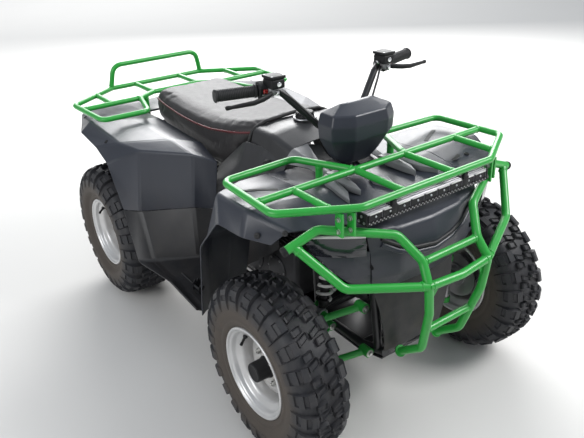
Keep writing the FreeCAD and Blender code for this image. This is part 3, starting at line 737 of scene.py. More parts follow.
def tyre(name, end, centre, control, blocks, pitches=24):
    """A tyre about the origin, moved to its centre; blocks give one pitch of one side."""
    right_half = smooth_line(control)
    outer = [Vector((-p.x, p.y)) for p in reversed(right_half[1:])] + right_half
    inner = [Vector((p.x * 0.86, p.y - 9.0)) for p in reversed(outer[3:-3])]
    loop = outer + inner
    body = lathe(name, [tuple(p / 1000) for p in loop + loop[:1]], (0, 0, 0), TYRE[end], 96)
    work = bmesh.new()
    hollow = []
    step = 2 * math.pi / pitches
    for side, start in ((1, 0.0), (-1, 0.5 * step)):
        for rows, holes in blocks:
            hollow += add_lug(work, right_half, rows, holes, side, start)
    bmesh.ops.recalc_face_normals(work, faces=work.faces)
    for face in hollow:
        bmesh.ops.inset_individual(work, faces=[face], thickness=3.0)
        bmesh.ops.translate(work, verts=face.verts, vec=face.normal * -BLOCK_DENT)
    pitch_mesh = bpy.data.meshes.new(name + "_pitch")
    work.to_mesh(pitch_mesh)
    work.free()
    pitch = link(name + "_pitch", pitch_mesh)
    pitch.data.transform(Matrix.Scale(0.001, 4))
    turns = [Matrix.Rotation(k * step, 4, "X") for k in range(pitches)]
    tread = repeat(name + "_tread", pitch, turns, TYRE[end], 30)
    whole = join(name, [smooth(body, 40), tread])
    return moved(whole, Matrix.Translation(centre))


FRONT_LINE = [(0, 266.5), (38, 264.5), (60, 257), (74, 241), (81, 222), (84, 203), (81.5, 182), (78, 168),
              (79, 160), (76.5, 151), (70, 141.5)]
FRONT_BLOCKS = [([(40, 0, 15, 8), (44, 0, 17, 12), (58, 0, 18, 12.5), (70, 0, 18, 11.5), (84, 0, 17.5, 9),
    (98, 0, 17, 6.5), (116, 0, 15, 5), (126, 0, 12, 1.0)], (2, 4)), ([(3, 21, 6, 9), (6, 21, 7.5, 12.5),
    (34, 9, 8.5, 12.5), (38, 8, 7, 9)], (1,)), ([(12, 44, 8, 9), (15, 43, 9.5, 12.5), (38, 38, 9.5, 12.5),
    (41, 38, 8, 9)], (1,)),]
REAR_LINE = [(0, 266.5), (60, 265), (92, 257), (110, 240), (119, 221), (122.5, 203), (119, 182), (106, 166),
             (105, 158), (103, 150), (96, 141.5)]
REAR_BLOCKS = [([(66, 0, 15, 8), (70, 0, 17, 12), (86, 0, 18, 12.5), (100, 0, 18, 11.5), (116, 0, 17.5, 9),
    (130, 0, 17, 6), (150, 0, 14, 4), (160, 0, 11, 1.0)], (2, 4)), ([(3, 20, 7, 9), (6, 20, 9, 12.5),
    (34, 6, 9, 12.5), (38, 5, 7, 9)], (1,)), ([(30, 44, 8, 9), (34, 43, 9.5, 12.5), (62, 34, 9.5, 12.5),
    (66, 34, 8, 9)], (1,)),]
FRONT_AT, REAR_AT = (0.424, AXLE_Y["front"], AXLE_Z), (0.384, AXLE_Y["rear"], AXLE_Z)
front_tyre = tyre("tyre_front_left", "front", FRONT_AT, FRONT_LINE, FRONT_BLOCKS)
place(front_tyre, "front_wheel_left", "tyre", "front_tyre_left")
place(copy_of(front_tyre, "tyre_front_right", FLIP), "front_wheel_right", "tyre", "front_tyre_right")
rear_tyre = tyre("tyres_rear", "rear", REAR_AT, REAR_LINE, REAR_BLOCKS)
place(both_sides(rear_tyre), "rear_wheels", "tyre", "rear_tyres")


# %% Rims, studs and valves
def hex_nut(name, radius, height, material, shank=0.0):
    """A hexagon nut on a washer, standing on local Z from 0, with a stud end through it."""
    profile = [(0.0, radius * 1.35), (height * 0.2, radius * 1.35), (height * 0.2, radius * 1.0)]
    washer = lathe(name + "_washer", [(0.0, 0.0)] + profile + [(height * 0.2, 0.0)], (0, 0, 0), material,
        24, "Z")
    points = [(radius * math.cos(a), radius * math.sin(a)) for a in (math.pi / 3 * k for k in range(6))]
    nut = prism(name + "_hex", points, height * 0.2, height, material, radius * 0.12, "Z")
    parts = [washer, nut]
    if shank:
        parts.append(lathe(name + "_stud", [(0.0, 0.0), (0.0, radius * 0.5),
            (height + shank * 0.8, radius * 0.5), (height + shank, radius * 0.35), (height + shank, 0.0)],
            (0, 0, 0), material, 16, "Z"))
    return join(name, parts)


def shell_lathe(name, profile, centre, material, wall, segments=96):
    """An open turned skin given an even wall."""
    made = lathe(name, profile, centre, material, segments)
    modifier(made, "SOLIDIFY", thickness=wall, offset=0.0, use_even_offset=True)
    return smooth(solid_normals(plain(made)), 35)


def rim(name, end, centre, half, disc_at):
    """Barrel and dished disc of one wheel whose outside faces +X."""
    x, paint = centre[0], SILVER[end]
    lip = [(half - 7, 136.5), (half - 6, 141), (half - 2.5, 142.5), (half, 140.5), (half - 0.5, 136.5),
        (half - 6, 134), (half - 9, 127), (half - 22, 124.5), (half - 27, 118), (half - 34, 107),
        (half - 42, 104.5)]
    barrel_line = lip + [(-px, r) for px, r in reversed(lip)]
    disc_line = [(disc_at - 24, 103), (disc_at - 14, 92), (disc_at - 9, 90), (disc_at - 4, 88),
        (disc_at + 1, 74), (disc_at + 4, 70), (disc_at + 4, 34), (disc_at + 8, 31)]
    shift = Vector((0, centre[1], centre[2]))
    barrel = shell_lathe(name + "_barrel", [((x * 1000 + px) / 1000, r / 1000) for px,
        r in rounded(barrel_line, 3.0, 2)], shift, paint, 0.003)
    disc = shell_lathe(name + "_disc", [((x * 1000 + px) / 1000, r / 1000) for px,
        r in rounded(disc_line, 3.0, 2)], shift, paint, 0.003)
    return join(name, [barrel, disc])


def wheel_hardware(name, centre, half, disc_at, cap_out, cap_radius):
    """Nuts, hub cap and valve of one wheel, as one piece with two materials."""
    disc_x = centre[0] + (disc_at + 5.5) / 1000
    nut = hex_nut(name + "_nut", 0.0085, 0.010, ZINC, 0.006)
    spots = [along_matrix(Vector((disc_x, centre[1] + 0.052 * math.sin(a),
        centre[2] + 0.052 * math.cos(a))), (1, 0, 0), a) for a in (math.pi / 4 + math.pi / 2 * k
        for k in range(4))]
    nuts = repeat(name + "_nuts", nut, spots, ZINC)
    r = cap_radius / 1000
    cap_line = [(0.0, r * 1.12), (0.006, r * 1.12), (0.010, r), (cap_out - 0.003, r * 0.96),
        (cap_out, r * 0.88), (cap_out - 0.002, r * 0.62), (cap_out - 0.004, 0.0)]
    cap_line = [(disc_x + a - 0.003, b) for a, b in rounded(cap_line, 0.004)]
    cap = smooth(lathe(name + "_cap", cap_line, (0, centre[1], centre[2]), CONTROL, 48), 40)
    stem = [(0.0, 0.0), (0.0, 0.0075), (0.004, 0.0075), (0.009, 0.0045), (0.024, 0.0040), (0.025, 0.0048),
        (0.033, 0.0046), (0.034, 0.0)]
    valve = smooth(lathe(name + "_valve", stem, (0, 0, 0), CONTROL, 16, "Z"), 40)
    seat_at = Vector((centre[0] + (half - 33) / 1000, centre[1] + 0.0760, centre[2] + 0.0760))
    valve = moved(valve, along_matrix(seat_at, (0.80, -0.42, -0.42)))
    return join(name, [nuts, cap, valve])


# half widths of the barrels and places of the discs, in millimetres from the wheel's middle
FRONT_HALF, FRONT_DISC, REAR_HALF, REAR_DISC = 76, 18, 102, 30
front_rim = rim("rim_front_left", "front", FRONT_AT, FRONT_HALF, FRONT_DISC)
front_kit = wheel_hardware("wheel_kit_front_left", FRONT_AT, FRONT_HALF, FRONT_DISC, 0.052, 31)
brake_line = [(-0.002, 0.034), (-0.002, 0.084), (0.002, 0.084), (0.002, 0.034), (-0.002, 0.034)]
brake = smooth(lathe("brake_disc_left", [(0.372 + a, r) for a, r in brake_line],
    (0, AXLE_Y["front"], AXLE_Z), MACHINED, 64))
hub_barrel = [(0.353, 0.0136), (0.353, 0.029), (0.358, 0.030), (0.366, 0.030), (0.366, 0.042),
    (0.378, 0.042), (0.378, 0.030), (0.412, 0.030), (0.412, 0.060), (0.4395, 0.060), (0.4395, 0.0136),
    (0.353, 0.0136)]
hub = smooth(lathe("hub_left", hub_barrel, (0, AXLE_Y["front"], AXLE_Z), CAST, 48))
front_hub = join("hub_front_left", [hub, brake])
for piece, replaced, slot in ((front_rim, "front_rim", "rim_silver"), (front_kit, None, "cap_black"),
        (front_hub, "front_hub", "hub_steel")):
    twin = copy_of(piece, piece.name.replace("left", "right"), FLIP)
    for made, side in ((piece, "left"), (twin, "right")):
        place(made, "front_wheel_" + side, slot, *([replaced + "_" + side] if replaced else []))
rear_rim = both_sides(rim("rims_rear", "rear", REAR_AT, REAR_HALF, REAR_DISC))
place(rear_rim, "rear_wheels", "rim_silver", "rear_rims")
place(both_sides(wheel_hardware("wheel_kits_rear", REAR_AT, REAR_HALF, REAR_DISC, 0.030, 25)),
    "rear_wheels", "cap_black")

# %% [markdown]
# ## Body panels
# The panels are injection moulded: flat facets that meet in soft creases, with a thin rounded rim. Each is
# built from the same grid of points as its solid, so it lies on it, and `moulded` rounds the creases with a
# Bevel before Solidify gives the wall. Rounding first is what keeps the inner side parallel.

# %% Panel tables (millimetres, left side)
WALL = 4.0
REAR_ROWS = [                         # inner edge, inner crease, outer crease, lip
    [(235, 20, 500), (300, 75, 505), (440, 236, 475), (495, 258, 490)],
    [(240, -30, 700), (300, 30, 724), (414, 226, 712), (490, 368, 640)],
    [(215, 120, 722), (300, 190, 738), (440, 344, 716), (493, 455, 682)],
    [(205, 480, 728), (300, 500, 738), (440, 620, 735), (490, 612, 700)],
    [(190, 860, 705), (300, 875, 705), (400, 850, 702), (425, 800, 668)]]
TAIL_ROWS = [[(-w, y, z), (w, y, z)] for w, y, z in ((203, 650, 716), (197, 862, 705), (197, 866, 640))]
FOOT_Z = 285
FOOT_ROWS = [
    [(x, y, z - 1.5) for x, y, z in REAR_ROWS[0]],
    [(225, 40, 300), (300, 72, 300), (447, 150, 300), (498, 180, 303)],
    [(225, -20, FOOT_Z), (300, -20, FOOT_Z), (440, -20, FOOT_Z), (466, -18, 298)],
    [(225, -235, FOOT_Z), (300, -235, FOOT_Z), (450, -235, FOOT_Z), (478, -235, 300)]]
FRONT_ROWS = [                        # inner edge, middle, ridge, lip
    [(300, -248, 320), (380, -252, 320), (440, -262, 318), (492, -296, 315)],
    [(270, -275, 560), (350, -280, 570), (440, -300, 590), (492, -338, 585)],
    [(242.6, -330, 752), (350, -350, 765), (452, -395, 770), (490, -455, 708)],
    [(242.6, -560, 763), (350, -560, 775), (455, -560, 778), (488, -580, 714)],
    [(242.6, -735, 735), (330, -708, 738), (405, -678, 742), (440, -648, 702)]]
NOSE_ROWS = [                         # y, half width, forward bulge of the middle, side z, middle z
    (-345, 242, 0, 753, 745), (-560, 242, 0, 763, 742), (-735, 242, 0, 735, 728), (-770, 218, 35, 705, 705),
    (-775, 206, 45, 640, 640), (-770, 194, 40, 560, 560), (-745, 180, 25, 500, 500)]

# %% Rear fender, footboards and front fenders
rear_left = moulded("rear_fender_left", REAR_ROWS, -WALL, FENDER, 0.008)
rear_wings = both_sides(rear_left)
tail_panel = moulded("tail_panel", TAIL_ROWS, -WALL, FENDER, 0.010)
rear_body = join("rear_fenders", [rear_wings, tail_panel])
place(rear_body, "root", "body_plastic", "rear_fender")
for side, matrix in (("left", None), ("right", FLIP)):
    board = moulded("footboard_" + side + "_panel", FOOT_ROWS, WALL, FOOT, 0.012)
    wing = moulded("front_fender_" + side + "_panel", FRONT_ROWS, WALL, FENDER, 0.012)
    for made, slot, node_name in ((board, "foot_plastic", "footboard_" + side),
            (wing, "body_plastic", "front_fender_" + side)):
        if matrix:
            moved(made, matrix)
        place(made, "root", slot, node_name)


# %% Hood and nose
def nose_grid(rows):
    return [[(-w, y, zs), (-w * 0.55, y - b * 0.7, zm), (0, y - b, zm), (w * 0.55, y - b * 0.7, zm),
        (w, y, zs)] for y, w, b, zs, zm in rows]


nose = moulded("nose_panel_skin", nose_grid(NOSE_ROWS), WALL, FENDER, 0.010)
place(nose, "root", "body_plastic", "nose_panel")

# %% Lip, slots and marks laid on the panels
def tree_of(made):
    return BVHTree.FromPolygons([v.co for v in made.data.vertices], [p.vertices[:]
        for p in made.data.polygons])


def on_surface(tree, start, way, lift=0.0):
    """Where a line from the start meets the surface, in millimetres, lifted back towards the start."""
    at = tree.ray_cast(mm(*start), Vector(way))[0]
    return tuple((at - Vector(way) * lift) * 1000)


def laid(name, tree, centre, half, material, thick=0.0014):
    """A thin strip that follows a panel from above along a line of (x, y) points."""
    rows = []
    for (x0, y0), (x1, y1) in zip(centre, centre[1:]):
        way = Vector((x1 - x0, y1 - y0)).normalized()
        for t in (0, 0.5, 1)[:3 if (x1, y1) == centre[-1] else 2]:
            x, y = x0 + (x1 - x0) * t, y0 + (y1 - y0) * t
            rows.append([on_surface(tree, (x + way.y * w, y - way.x * w, 900), (0, 0, -1), 0.0008)
                for w in (-half, 0, half)])
    made = raw(name, [mm(*p) for row in rows for p in row], [(i * 3 + j, i * 3 + j + 1, i * 3 + j + 4,
        i * 3 + j + 3) for i in range(len(rows) - 1) for j in (0, 1)], material)
    modifier(made, "SOLIDIFY", thickness=thick, offset=0)
    return smooth(solid_normals(plain(made)), 40)


def blade(name, outline, thick, material):
    """A flat pointed blade: a crowned outline lofted down to its base."""
    top = [Vector(p) / 1000 for p in outline]
    middle = sum(top, Vector()) / len(top) + Vector((0, 0, thick * 0.45))
    base = [p - Vector((0, 0, thick)) for p in top]
    count = len(top)
    faces = [(i, (i + 1) % count, 2 * count) for i in range(count)]
    faces += [(i, count + i, count + (i + 1) % count, (i + 1) % count) for i in range(count)]
    faces.append(list(range(count, 2 * count)))
    made = solid_normals(raw(name, top + base + [middle], faces, material))
    modifier(made, "BEVEL", width=0.0012, segments=2, limit_method="ANGLE", angle_limit=math.radians(20))
    return smooth(plain(made), 40)


nose_tree = tree_of(nose)
wing_tree = tree_of(bpy.data.objects["front_fender_left_panel"])
LIP = ((-176, 668), (-128, 640), (-70, 620), (0, 612), (70, 620), (128, 640), (176, 668))
for name, rise, radius, material in (("nose_lip", 0, 8.0, FENDER), ("nose_slot", 16, 5.5, GRILLE_AND_SHADE_FILL)):
    run = [on_surface(nose_tree, (x, -900, z + rise), (0, 1, 0), 0.001) for x, z in LIP]
    place(tubes(name, [run], radius, 60, material, sides=14), "root", "body_plastic")
stripe = laid("fender_stripe", wing_tree, [(300, -486), (345, -462), (392, -436)], 7, GRILLE_AND_SHADE_FILL)
slot = laid("fender_slot", wing_tree, [(262, -640), (300, -628)], 6, GRILLE_AND_SHADE_FILL)
place(both_sides(join("fender_marks", [stripe, slot])), "root", "body_plastic")
wedge = blade("hood_wedge", [(-16, -556, 747), (16, -556, 747), (30, -590, 748), (10, -640, 746),
    (-10, -640, 746), (-30, -590, 748)], 0.012, PALE_TRIM_AND_HIGHLIGHT)
place(wedge, "root", "body_plastic")

# %% [markdown]
# The tank cover and side panels are one moulding each. The cover is crowned, its front runs down to the hood
# in two pointed blades on each side, and the side panels carry a round filler knob and are left bare where
# the real machine is lettered. A rubber rib closes the gap between the cover and the seat.

# %% Tank cover, side panels and blades
COVER_ROWS = [[(-172, y, z - 60), (-crest, y, z - 12), (-78, y, z - 1), (0, y, z + 2), (78, y, z - 1),
               (crest, y, z - 12), (172, y, z - 60)]
              for y, z, crest in ((-150.6, 845, 158), (-250, 845, 157), (-345, 818, 149))]
SIDE_ROWS = [                         # from the rear edge forward, top to bottom
    [(212, 16, 662), (232, 10, 604), (232, 26, 500), (220, 30, 320)],
    [(184, -132, 790), (232, -118, 668), (245, -118, 510), (222, -130, 320)],
    [(168, -240, 788), (232, -240, 700), (240, -240, 560), (220, -240, 400)],
    [(172, -345, 758), (212, -345, 700), (225, -345, 600), (210, -345, 480)]]
BLADE_ROWS = [                        # inner edge, crown, outer edge, running forward
    [(84, -343, 815), (146, -343, 808), (178, -340, 770)],
    [(92, -420, 771), (116, -424, 778), (136, -415, 764)],
    [(94, -490, 757), (110, -492, 764), (124, -490, 754)],
    [(92, -530, 753), (112, -532, 760), (136, -530, 752)]]
cover = moulded("tank_cover_top", COVER_ROWS, WALL, TANK, 0.016, edge_angle=4)
sides = both_sides(moulded("side_panel", SIDE_ROWS, WALL, TANK, 0.016))
place(join("tank_cover_skin", [cover, sides]), "root", "tank_plastic", "tank_cover")

# The neck is the crest where the tank cover runs into the blades; its pale trim colour is a painted
# highlight on that crease.
crest_highlight = moulded("blade_neck", BLADE_ROWS, WALL, PALE_TRIM_AND_HIGHLIGHT, 0.010)
inner_blade = blade("blade_inner", [(86, -486, 770), (124, -484, 769), (130, -530, 763), (124, -592, 760),
    (110, -627, 756), (98, -590, 759), (88, -530, 764)], 0.018, PALE_TRIM_AND_HIGHLIGHT)
outer_blade = blade("blade_outer", [(126, -486, 767), (144, -492, 763), (155, -525, 759), (172, -600, 757),
    (177, -655, 753), (146, -612, 757), (132, -560, 759)], 0.018, PALE_TRIM_AND_HIGHLIGHT)
place(both_sides(join("hood_blades", [crest_highlight, inner_blade, outer_blade])), "root", "body_plastic")
# The steering shroud is near-black inner plastic that closes the recess between the tank cover and the pod,
# a dark panel that paints the recess's shade.
SHROUD_ROWS = [[(34, -338, 800), (84, -340, 806)], [(34, -398, 768), (88, -404, 772)],
               [(34, -462, 748), (90, -466, 752)]]
place(both_sides(moulded("steering_shroud", SHROUD_ROWS, 3.0, GRILLE_AND_SHADE_FILL, 0.008)), "root", "body_plastic")

# %% Filler cap, knobs and rubber rib
cap_at = Vector((0, -0.222, 0.8473))
cap_line = [(0.0, 0.0), (0.0, 0.032), (0.012, 0.032), (0.016, 0.0295), (0.024, 0.0285), (0.026, 0.0265),
    (0.0255, 0.020), (0.0262, 0.0)]
cap = turned("filler_cap", cap_line, 0.0015, CONTROL, 64, at=cap_at)
rim_ring = turned("filler_ring", [(-0.004, 0.034), (0.004, 0.040), (0.008, 0.038), (0.008, 0.033),
    (-0.004, 0.034)], 0.001, MACHINED, 64, at=cap_at)
flute = boxy("cap_flute", (0.0275, -0.0022, 0.004), (0.0312, 0.0022, 0.0235), CONTROL, 0.0009, 2)
flutes = repeat("cap_flutes", flute, [Matrix.Translation(cap_at) @ Matrix.Rotation(math.pi / 9 * k, 4, "Z")
    for k in range(18)], CONTROL)
place(join("filler_cap", [cap, flutes, rim_ring]), "root", "cap_black", "fuel_cap")
knob_line = [(-0.012, 0.0), (-0.012, 0.015), (0.004, 0.0175), (0.012, 0.0165), (0.018, 0.011), (0.020, 0.0)]
knob = turned("side_knob", knob_line, 0.003, CONTROL, 32, angle=50)
moved(knob, along_matrix(mm(196, -286, 752), (0.80, -0.05, 0.50)))
place(both_sides(knob), "root", "cap_black")
RIB = [(173, -134, 776), (157, -144, 826), (110, -154, 847), (0, -160, 856)]
rib_path = RIB + [(-x, y, z) for x, y, z in reversed(RIB[:-1])]
place(tubes("seat_rib", [rib_path], 6.5, 32, GRIP), "root", "cap_black")

# %% [markdown]
# ## The seat
# The seat is a moulded foam block under vinyl: crowned along its length, wider at the thighs, with a lower
# corner that drops beside the tank. A short cloth simulation under light pressure gives the cover its
# fullness, and afterwards a red piping and its stitches are laid on the surface that came out.

# %% Seat cushion
SEAT_ROWS = [(-146, 128, 798, 832), (-105, 160, 758, 830), (-50, 187, 706, 824), (10, 196, 660, 817),
             (100, 201, 662, 806), (200, 203, 663, 802), (330, 199, 671, 803), (480, 188, 683, 809),
             (560, 174, 694, 812), (596, 158, 704, 808)]   # y, half width, underside, top


def seat_section(y, half, low, top):
    """Left half outline from the middle of the underside to the middle of the top."""
    return [(0, y, low), (half * 0.80, y, low), (half * 0.96, y, low + 10),
        (half, y, low + (top - low) * 0.55), (half * 0.985, y, top - 24), (half * 0.90, y, top - 5),
        (half * 0.60, y, top + 1), (0, y, top + 3)]


def loft_faces(count, rings):
    """Faces of a closed skin over rings of count points, with flat ends."""
    faces = [(k * count + i, k * count + (i + 1) % count, (k + 1) * count + (i + 1) % count,
        (k + 1) * count + i) for k in range(rings - 1) for i in range(count)]
    return faces + [list(range(count)), list(range((rings - 1) * count, rings * count))]


def lofted(name, sections, material):
    """A closed skin over closed outlines that all have the same number of points."""
    points = [Vector(p) / 1000 for section in sections for p in section]
    return solid_normals(raw(name, points, loft_faces(len(sections[0]), len(sections)), material))


HELD_BAND = 0.022                     # metres above the underside that the cloth is held at


def inflate(made, voxel, frames, pressure, cap_move):
    """Voxel remesh, a short cloth run under pressure, movement capped, result applied."""
    modifier(made, "REMESH", mode="VOXEL", voxel_size=voxel)
    made = plain(made)
    modifier(made, "SMOOTH", iterations=6, factor=0.5)
    made = plain(made)
    rest = [v.co.copy() for v in made.data.vertices]
    lowest = min(p.z for p in rest)
    pins = made.vertex_groups.new(name="held")
    for i, p in enumerate(rest):
        if p.z < lowest + HELD_BAND:
            pins.add([i], 1.0, "REPLACE")
    cloth = made.modifiers.new("cloth", "CLOTH")
    cloth.settings.use_pressure = True
    cloth.settings.uniform_pressure_force = pressure
    cloth.settings.vertex_group_mass = "held"
    cloth.settings.effector_weights.gravity = 0.0
    cloth.settings.quality = 6
    cloth.settings.tension_stiffness = cloth.settings.compression_stiffness = 12
    cloth.point_cache.frame_end = frames
    for frame_number in range(1, frames + 1):
        scene.frame_set(frame_number)
    made = plain(made)
    scene.frame_set(1)
    for v, p in zip(made.data.vertices, rest):
        move = v.co - p
        if move.length > cap_move:
            v.co = p + move.normalized() * cap_move
    made.vertex_groups.clear()
    made.data.shade_smooth()
    return made


sections = []
for y, half, low, top in SEAT_ROWS:
    line = seat_section(y, half, low, top)
    sections.append(line + [(-x, sy, z) for x, sy, z in reversed(line[1:-1])])
cushion = inflate(lofted("seat_cushion", sections, VINYL.material), voxel=0.006, frames=20, pressure=4.0,
    cap_move=0.008)
modifier(cushion, "SUBSURF", levels=1, render_levels=1)
cushion = plain(cushion)
cushion.data.shade_smooth()

# %% Piping and stitches
skin_tree = tree_of(cushion)


def seam_path(drop, steps=4):
    """A smooth line along the left top edge, round the back and forward again, on the cushion."""
    control = [Vector((half, y, top - drop)) for y, half, low, top in SEAT_ROWS]
    control.append(Vector((90, 606, SEAT_ROWS[-1][3] - drop)))
    control.append(Vector((0, 608, SEAT_ROWS[-1][3] - drop)))
    control += [Vector((-p.x, p.y, p.z)) for p in reversed(control[:-1])]
    return [skin_tree.find_nearest(p / 1000)[:2] for p in smooth_line(control, steps)]


piping = tubes("seat_piping", [[(at + out * 0.0012) * 1000 for at, out in seam_path(26)]], 3.2, 5, PIPING,
    sides=10)
stitch_shape = lathe("stitch", rounded([(-0.0026, 0.0), (-0.0022, 0.0007), (0.0022, 0.0007), (0.0026, 0.0)],
    0.0004), (0, 0, 0), PIPING, 6, "Z")
marks = []
for drop in (18.5, 33.5):
    line = seam_path(drop, 6)
    travelled = 0.0
    for (a, out), (b, _) in zip(line, line[1:]):
        travelled += (b - a).length
        if travelled > 0.0075:
            marks.append(along_matrix(a + out * 0.0004, b - a))
            travelled = 0.0
stitches = repeat("seat_stitches", stitch_shape, marks, PIPING, 60)
place(cushion, "root", "seat_vinyl", "seat")
place(piping, "root", "seat_vinyl")
place(stitches, "root", "seat_vinyl")

# %% [markdown]
# ## Steering: pod, grips and controls
# The pod is a faceted moulding with a soft chin. Each grip is ribbed between two flanges. Inboard of it
# come a switch housing with buttons, a clamped lever and a square brake reservoir with its lid and screws.

# %% Pod
POD_ROWS = [(775, 50, -488, -450), (784, 64, -500, -447), (806, 84, -515, -446), (868, 120, -549, -446),
            (912, 123, -551, -446), (943, 113, -544, -446), (967, 62, -490, -476)]
# height, half width, y of the front, y of the back
pod_sections = []
for z, half, front, back in POD_ROWS:
    side_y = front + 0.35 * (back - front)
    pod_sections.append([(-half, back, z), (-half, side_y, z), (-half * 0.52, front, z),
        (half * 0.52, front, z), (half, side_y, z), (half, back, z)])
pod = lofted("pod_shell", pod_sections, FENDER)
modifier(pod, "BEVEL", width=0.007, segments=4, limit_method="ANGLE", angle_limit=math.radians(11))
modifier(pod, "WEIGHTED_NORMAL", keep_sharp=True, weight=60)
pod.data.shade_smooth()
place(plain(pod), "steering", "body_plastic", "pod")

# %% Grips, levers, reservoirs and switches
GRIP_OUT, GRIP_IN = mm(376, -307, 1015), mm(195, -352, 1012)
grip_way = (GRIP_OUT - GRIP_IN).normalized()
grip_tip = GRIP_OUT + grip_way * 0.004
hold = grip_tip - grip_way * 0.150


def swept(name, stations, material, sides=12):
    """A rod of oval section: each station is a point, a half height and a half thickness in millimetres."""
    points = [Vector(at) / 1000 for at, _, _ in stations]
    rings = []
    for k, (at, high, thick) in enumerate(stations):
        way = (points[min(k + 1, len(points) - 1)] - points[max(k - 1, 0)]).normalized()
        up = Vector((0, 0, 1))
        up = (up - way * up.dot(way)).normalized()
        across = way.cross(up)
        for i in range(sides):
            turn = 2 * math.pi * i / sides
            rings.append(points[k] + (up * (high * math.sin(turn))
                + across * (thick * math.cos(turn))) / 1000)
    return smooth(solid_normals(raw(name, rings, loft_faces(sides, len(points)), material)), 50)


grip_line = [(0.0, 0.0115), (0.0, 0.0195), (0.004, 0.0195), (0.0055, 0.0162)]
for k in range(21):
    start = 0.008 + k * 0.0051
    grip_line += [(start, 0.0162), (start + 0.0008, 0.0171), (start + 0.0033, 0.0171),
        (start + 0.0041, 0.0162)]
grip_line += [(0.1165, 0.0163), (0.118, 0.0190), (0.1215, 0.0190), (0.124, 0.0165), (0.124, 0.0)]
grip = smooth(lathe("grips_ribbed", grip_line, (0, 0, 0), GRIP, 40, "Z"), 32)
moved(grip, along_matrix(grip_tip - grip_way * 0.124, grip_way))
place(both_sides(grip), "steering", "grip_rubber", "grips")

hx, hy, hz = hold * 1000
lever = swept("lever", [((hx - 14, hy - 26, hz - 3), 7, 6), ((hx + 6, hy - 40, hz - 5), 8, 5.5),
    ((hx + 36, hy - 52, hz - 9), 8, 4.2), ((hx + 70, hy - 57, hz - 12), 7.5, 3.8),
    ((hx + 110, hy - 50, hz - 13), 6.5, 3.8), ((hx + 138, hy - 44, hz - 14), 5.5, 3.8),
    ((hx + 146, hy - 42, hz - 14), 6.8, 6.2), ((hx + 152, hy - 41, hz - 14), 6.4, 6.0),
    ((hx + 155, hy - 40, hz - 14), 3.0, 3.0)], CONTROL)
perch = boxy("perch", mm(hx - 30, hy - 38, hz - 12), mm(hx + 2, hy - 4, hz + 12), CAST, 0.005, 3)
pivot = lathe("lever_pivot", rounded([(-0.014, 0.0), (-0.014, 0.0055), (0.014, 0.0055), (0.014, 0.0)],
    0.001), mm(hx - 8, hy - 31, hz - 3), MACHINED, 6, "Z")
tank_low = boxy("reservoir_body", mm(hx - 43, hy - 49, hz + 8), mm(hx + 3, hy + 1, hz + 36), CONTROL, 0.005,
    3)
tank_lid = boxy("reservoir_lid", mm(hx - 45, hy - 51, hz + 36.5), mm(hx + 5, hy + 3, hz + 45.5), CONTROL,
    0.0025, 3)
sight = turned("sight_glass", [(-0.002, 0.0), (-0.002, 0.0075), (0.0022, 0.007), (0.0032, 0.0)], 0.0008,
    CHROME, 24, axis="Y", at=mm(hx - 20, hy - 49.6, hz + 22))
screws = [Matrix.Translation(mm(hx - 20 + dx, hy - 24 + dy, hz + 45)) for dx in (-19, 19)
    for dy in (-20, 20)]
screw = lathe("screw", rounded([(-0.001, 0.0), (-0.001, 0.0034), (0.0009, 0.0034), (0.0009, 0.0016),
    (-0.0002, 0.0)], 0.0004), (0, 0, 0), MACHINED, 12, "Z")
lid_screws = repeat("lid_screws", screw, screws, MACHINED)
housing = boxy("switch_housing", (-0.019, -0.021, -0.023), (0.019, 0.021, 0.023), CONTROL, 0.008, 4)
seam = boxy("switch_seam", (-0.0196, -0.0006, -0.0215), (0.0196, 0.0006, 0.0215), GRIP, 0.0003, 1)
rocker = boxy("switch_rocker", (-0.0065, -0.0255, 0.004), (0.0065, -0.018, 0.016), RED_LENS, 0.0022, 3)
button = turned("switch_button", [(-0.027, 0.0), (-0.026, 0.0048), (-0.018, 0.0052)], 0.0012, LIGHT_ALLOY,
    20, axis="Y", at=(0, 0, -0.010))
slide = boxy("switch_slide", (-0.010, -0.0245, -0.004), (0.010, -0.018, 0.0005), LIGHT_ALLOY, 0.0012, 2)
switch = join("switch", [housing, seam, rocker, button, slide])
spin = Matrix((tuple(grip_way) + (0,), tuple(Vector((0, 0, 1)).cross(grip_way).normalized()) + (0,),
    (0, 0, 1, 0), (0, 0, 0, 1))).transposed()
moved(switch, Matrix.Translation(hold + grip_way * 0.003) @ spin @ Matrix.Rotation(0.35, 4, "X"))
ring_line = rounded([(-0.006, 0.0114), (-0.006, 0.0185), (0.006, 0.0185), (0.006, 0.0114),
    (-0.006, 0.0114)], 0.0012)
collar = smooth(lathe("perch_clamp", ring_line, (0, 0, 0), CAST, 32, "Z"), 40)
moved(collar, along_matrix(hold - grip_way * 0.028, grip_way))
banjo = turned("banjo_bolt", [(0.0, 0.0), (0.0, 0.0065), (0.010, 0.0065), (0.010, 0.0)], 0.001, CHROME, 6,
    angle=30)
moved(banjo, along_matrix(mm(hx - 43, hy - 26, hz + 16), (-1, 0, -0.15)))
bracket = boxy("cable_stop", mm(hx - 22, hy - 48, hz - 10), mm(hx - 12, hy - 34, hz + 4), CHROME, 0.002, 2)
side_controls = join("bar_controls", [perch, lever, pivot, tank_low, tank_lid, sight, lid_screws, switch,
    collar, banjo, bracket])
place(both_sides(side_controls), "steering", "control_black", "controls")
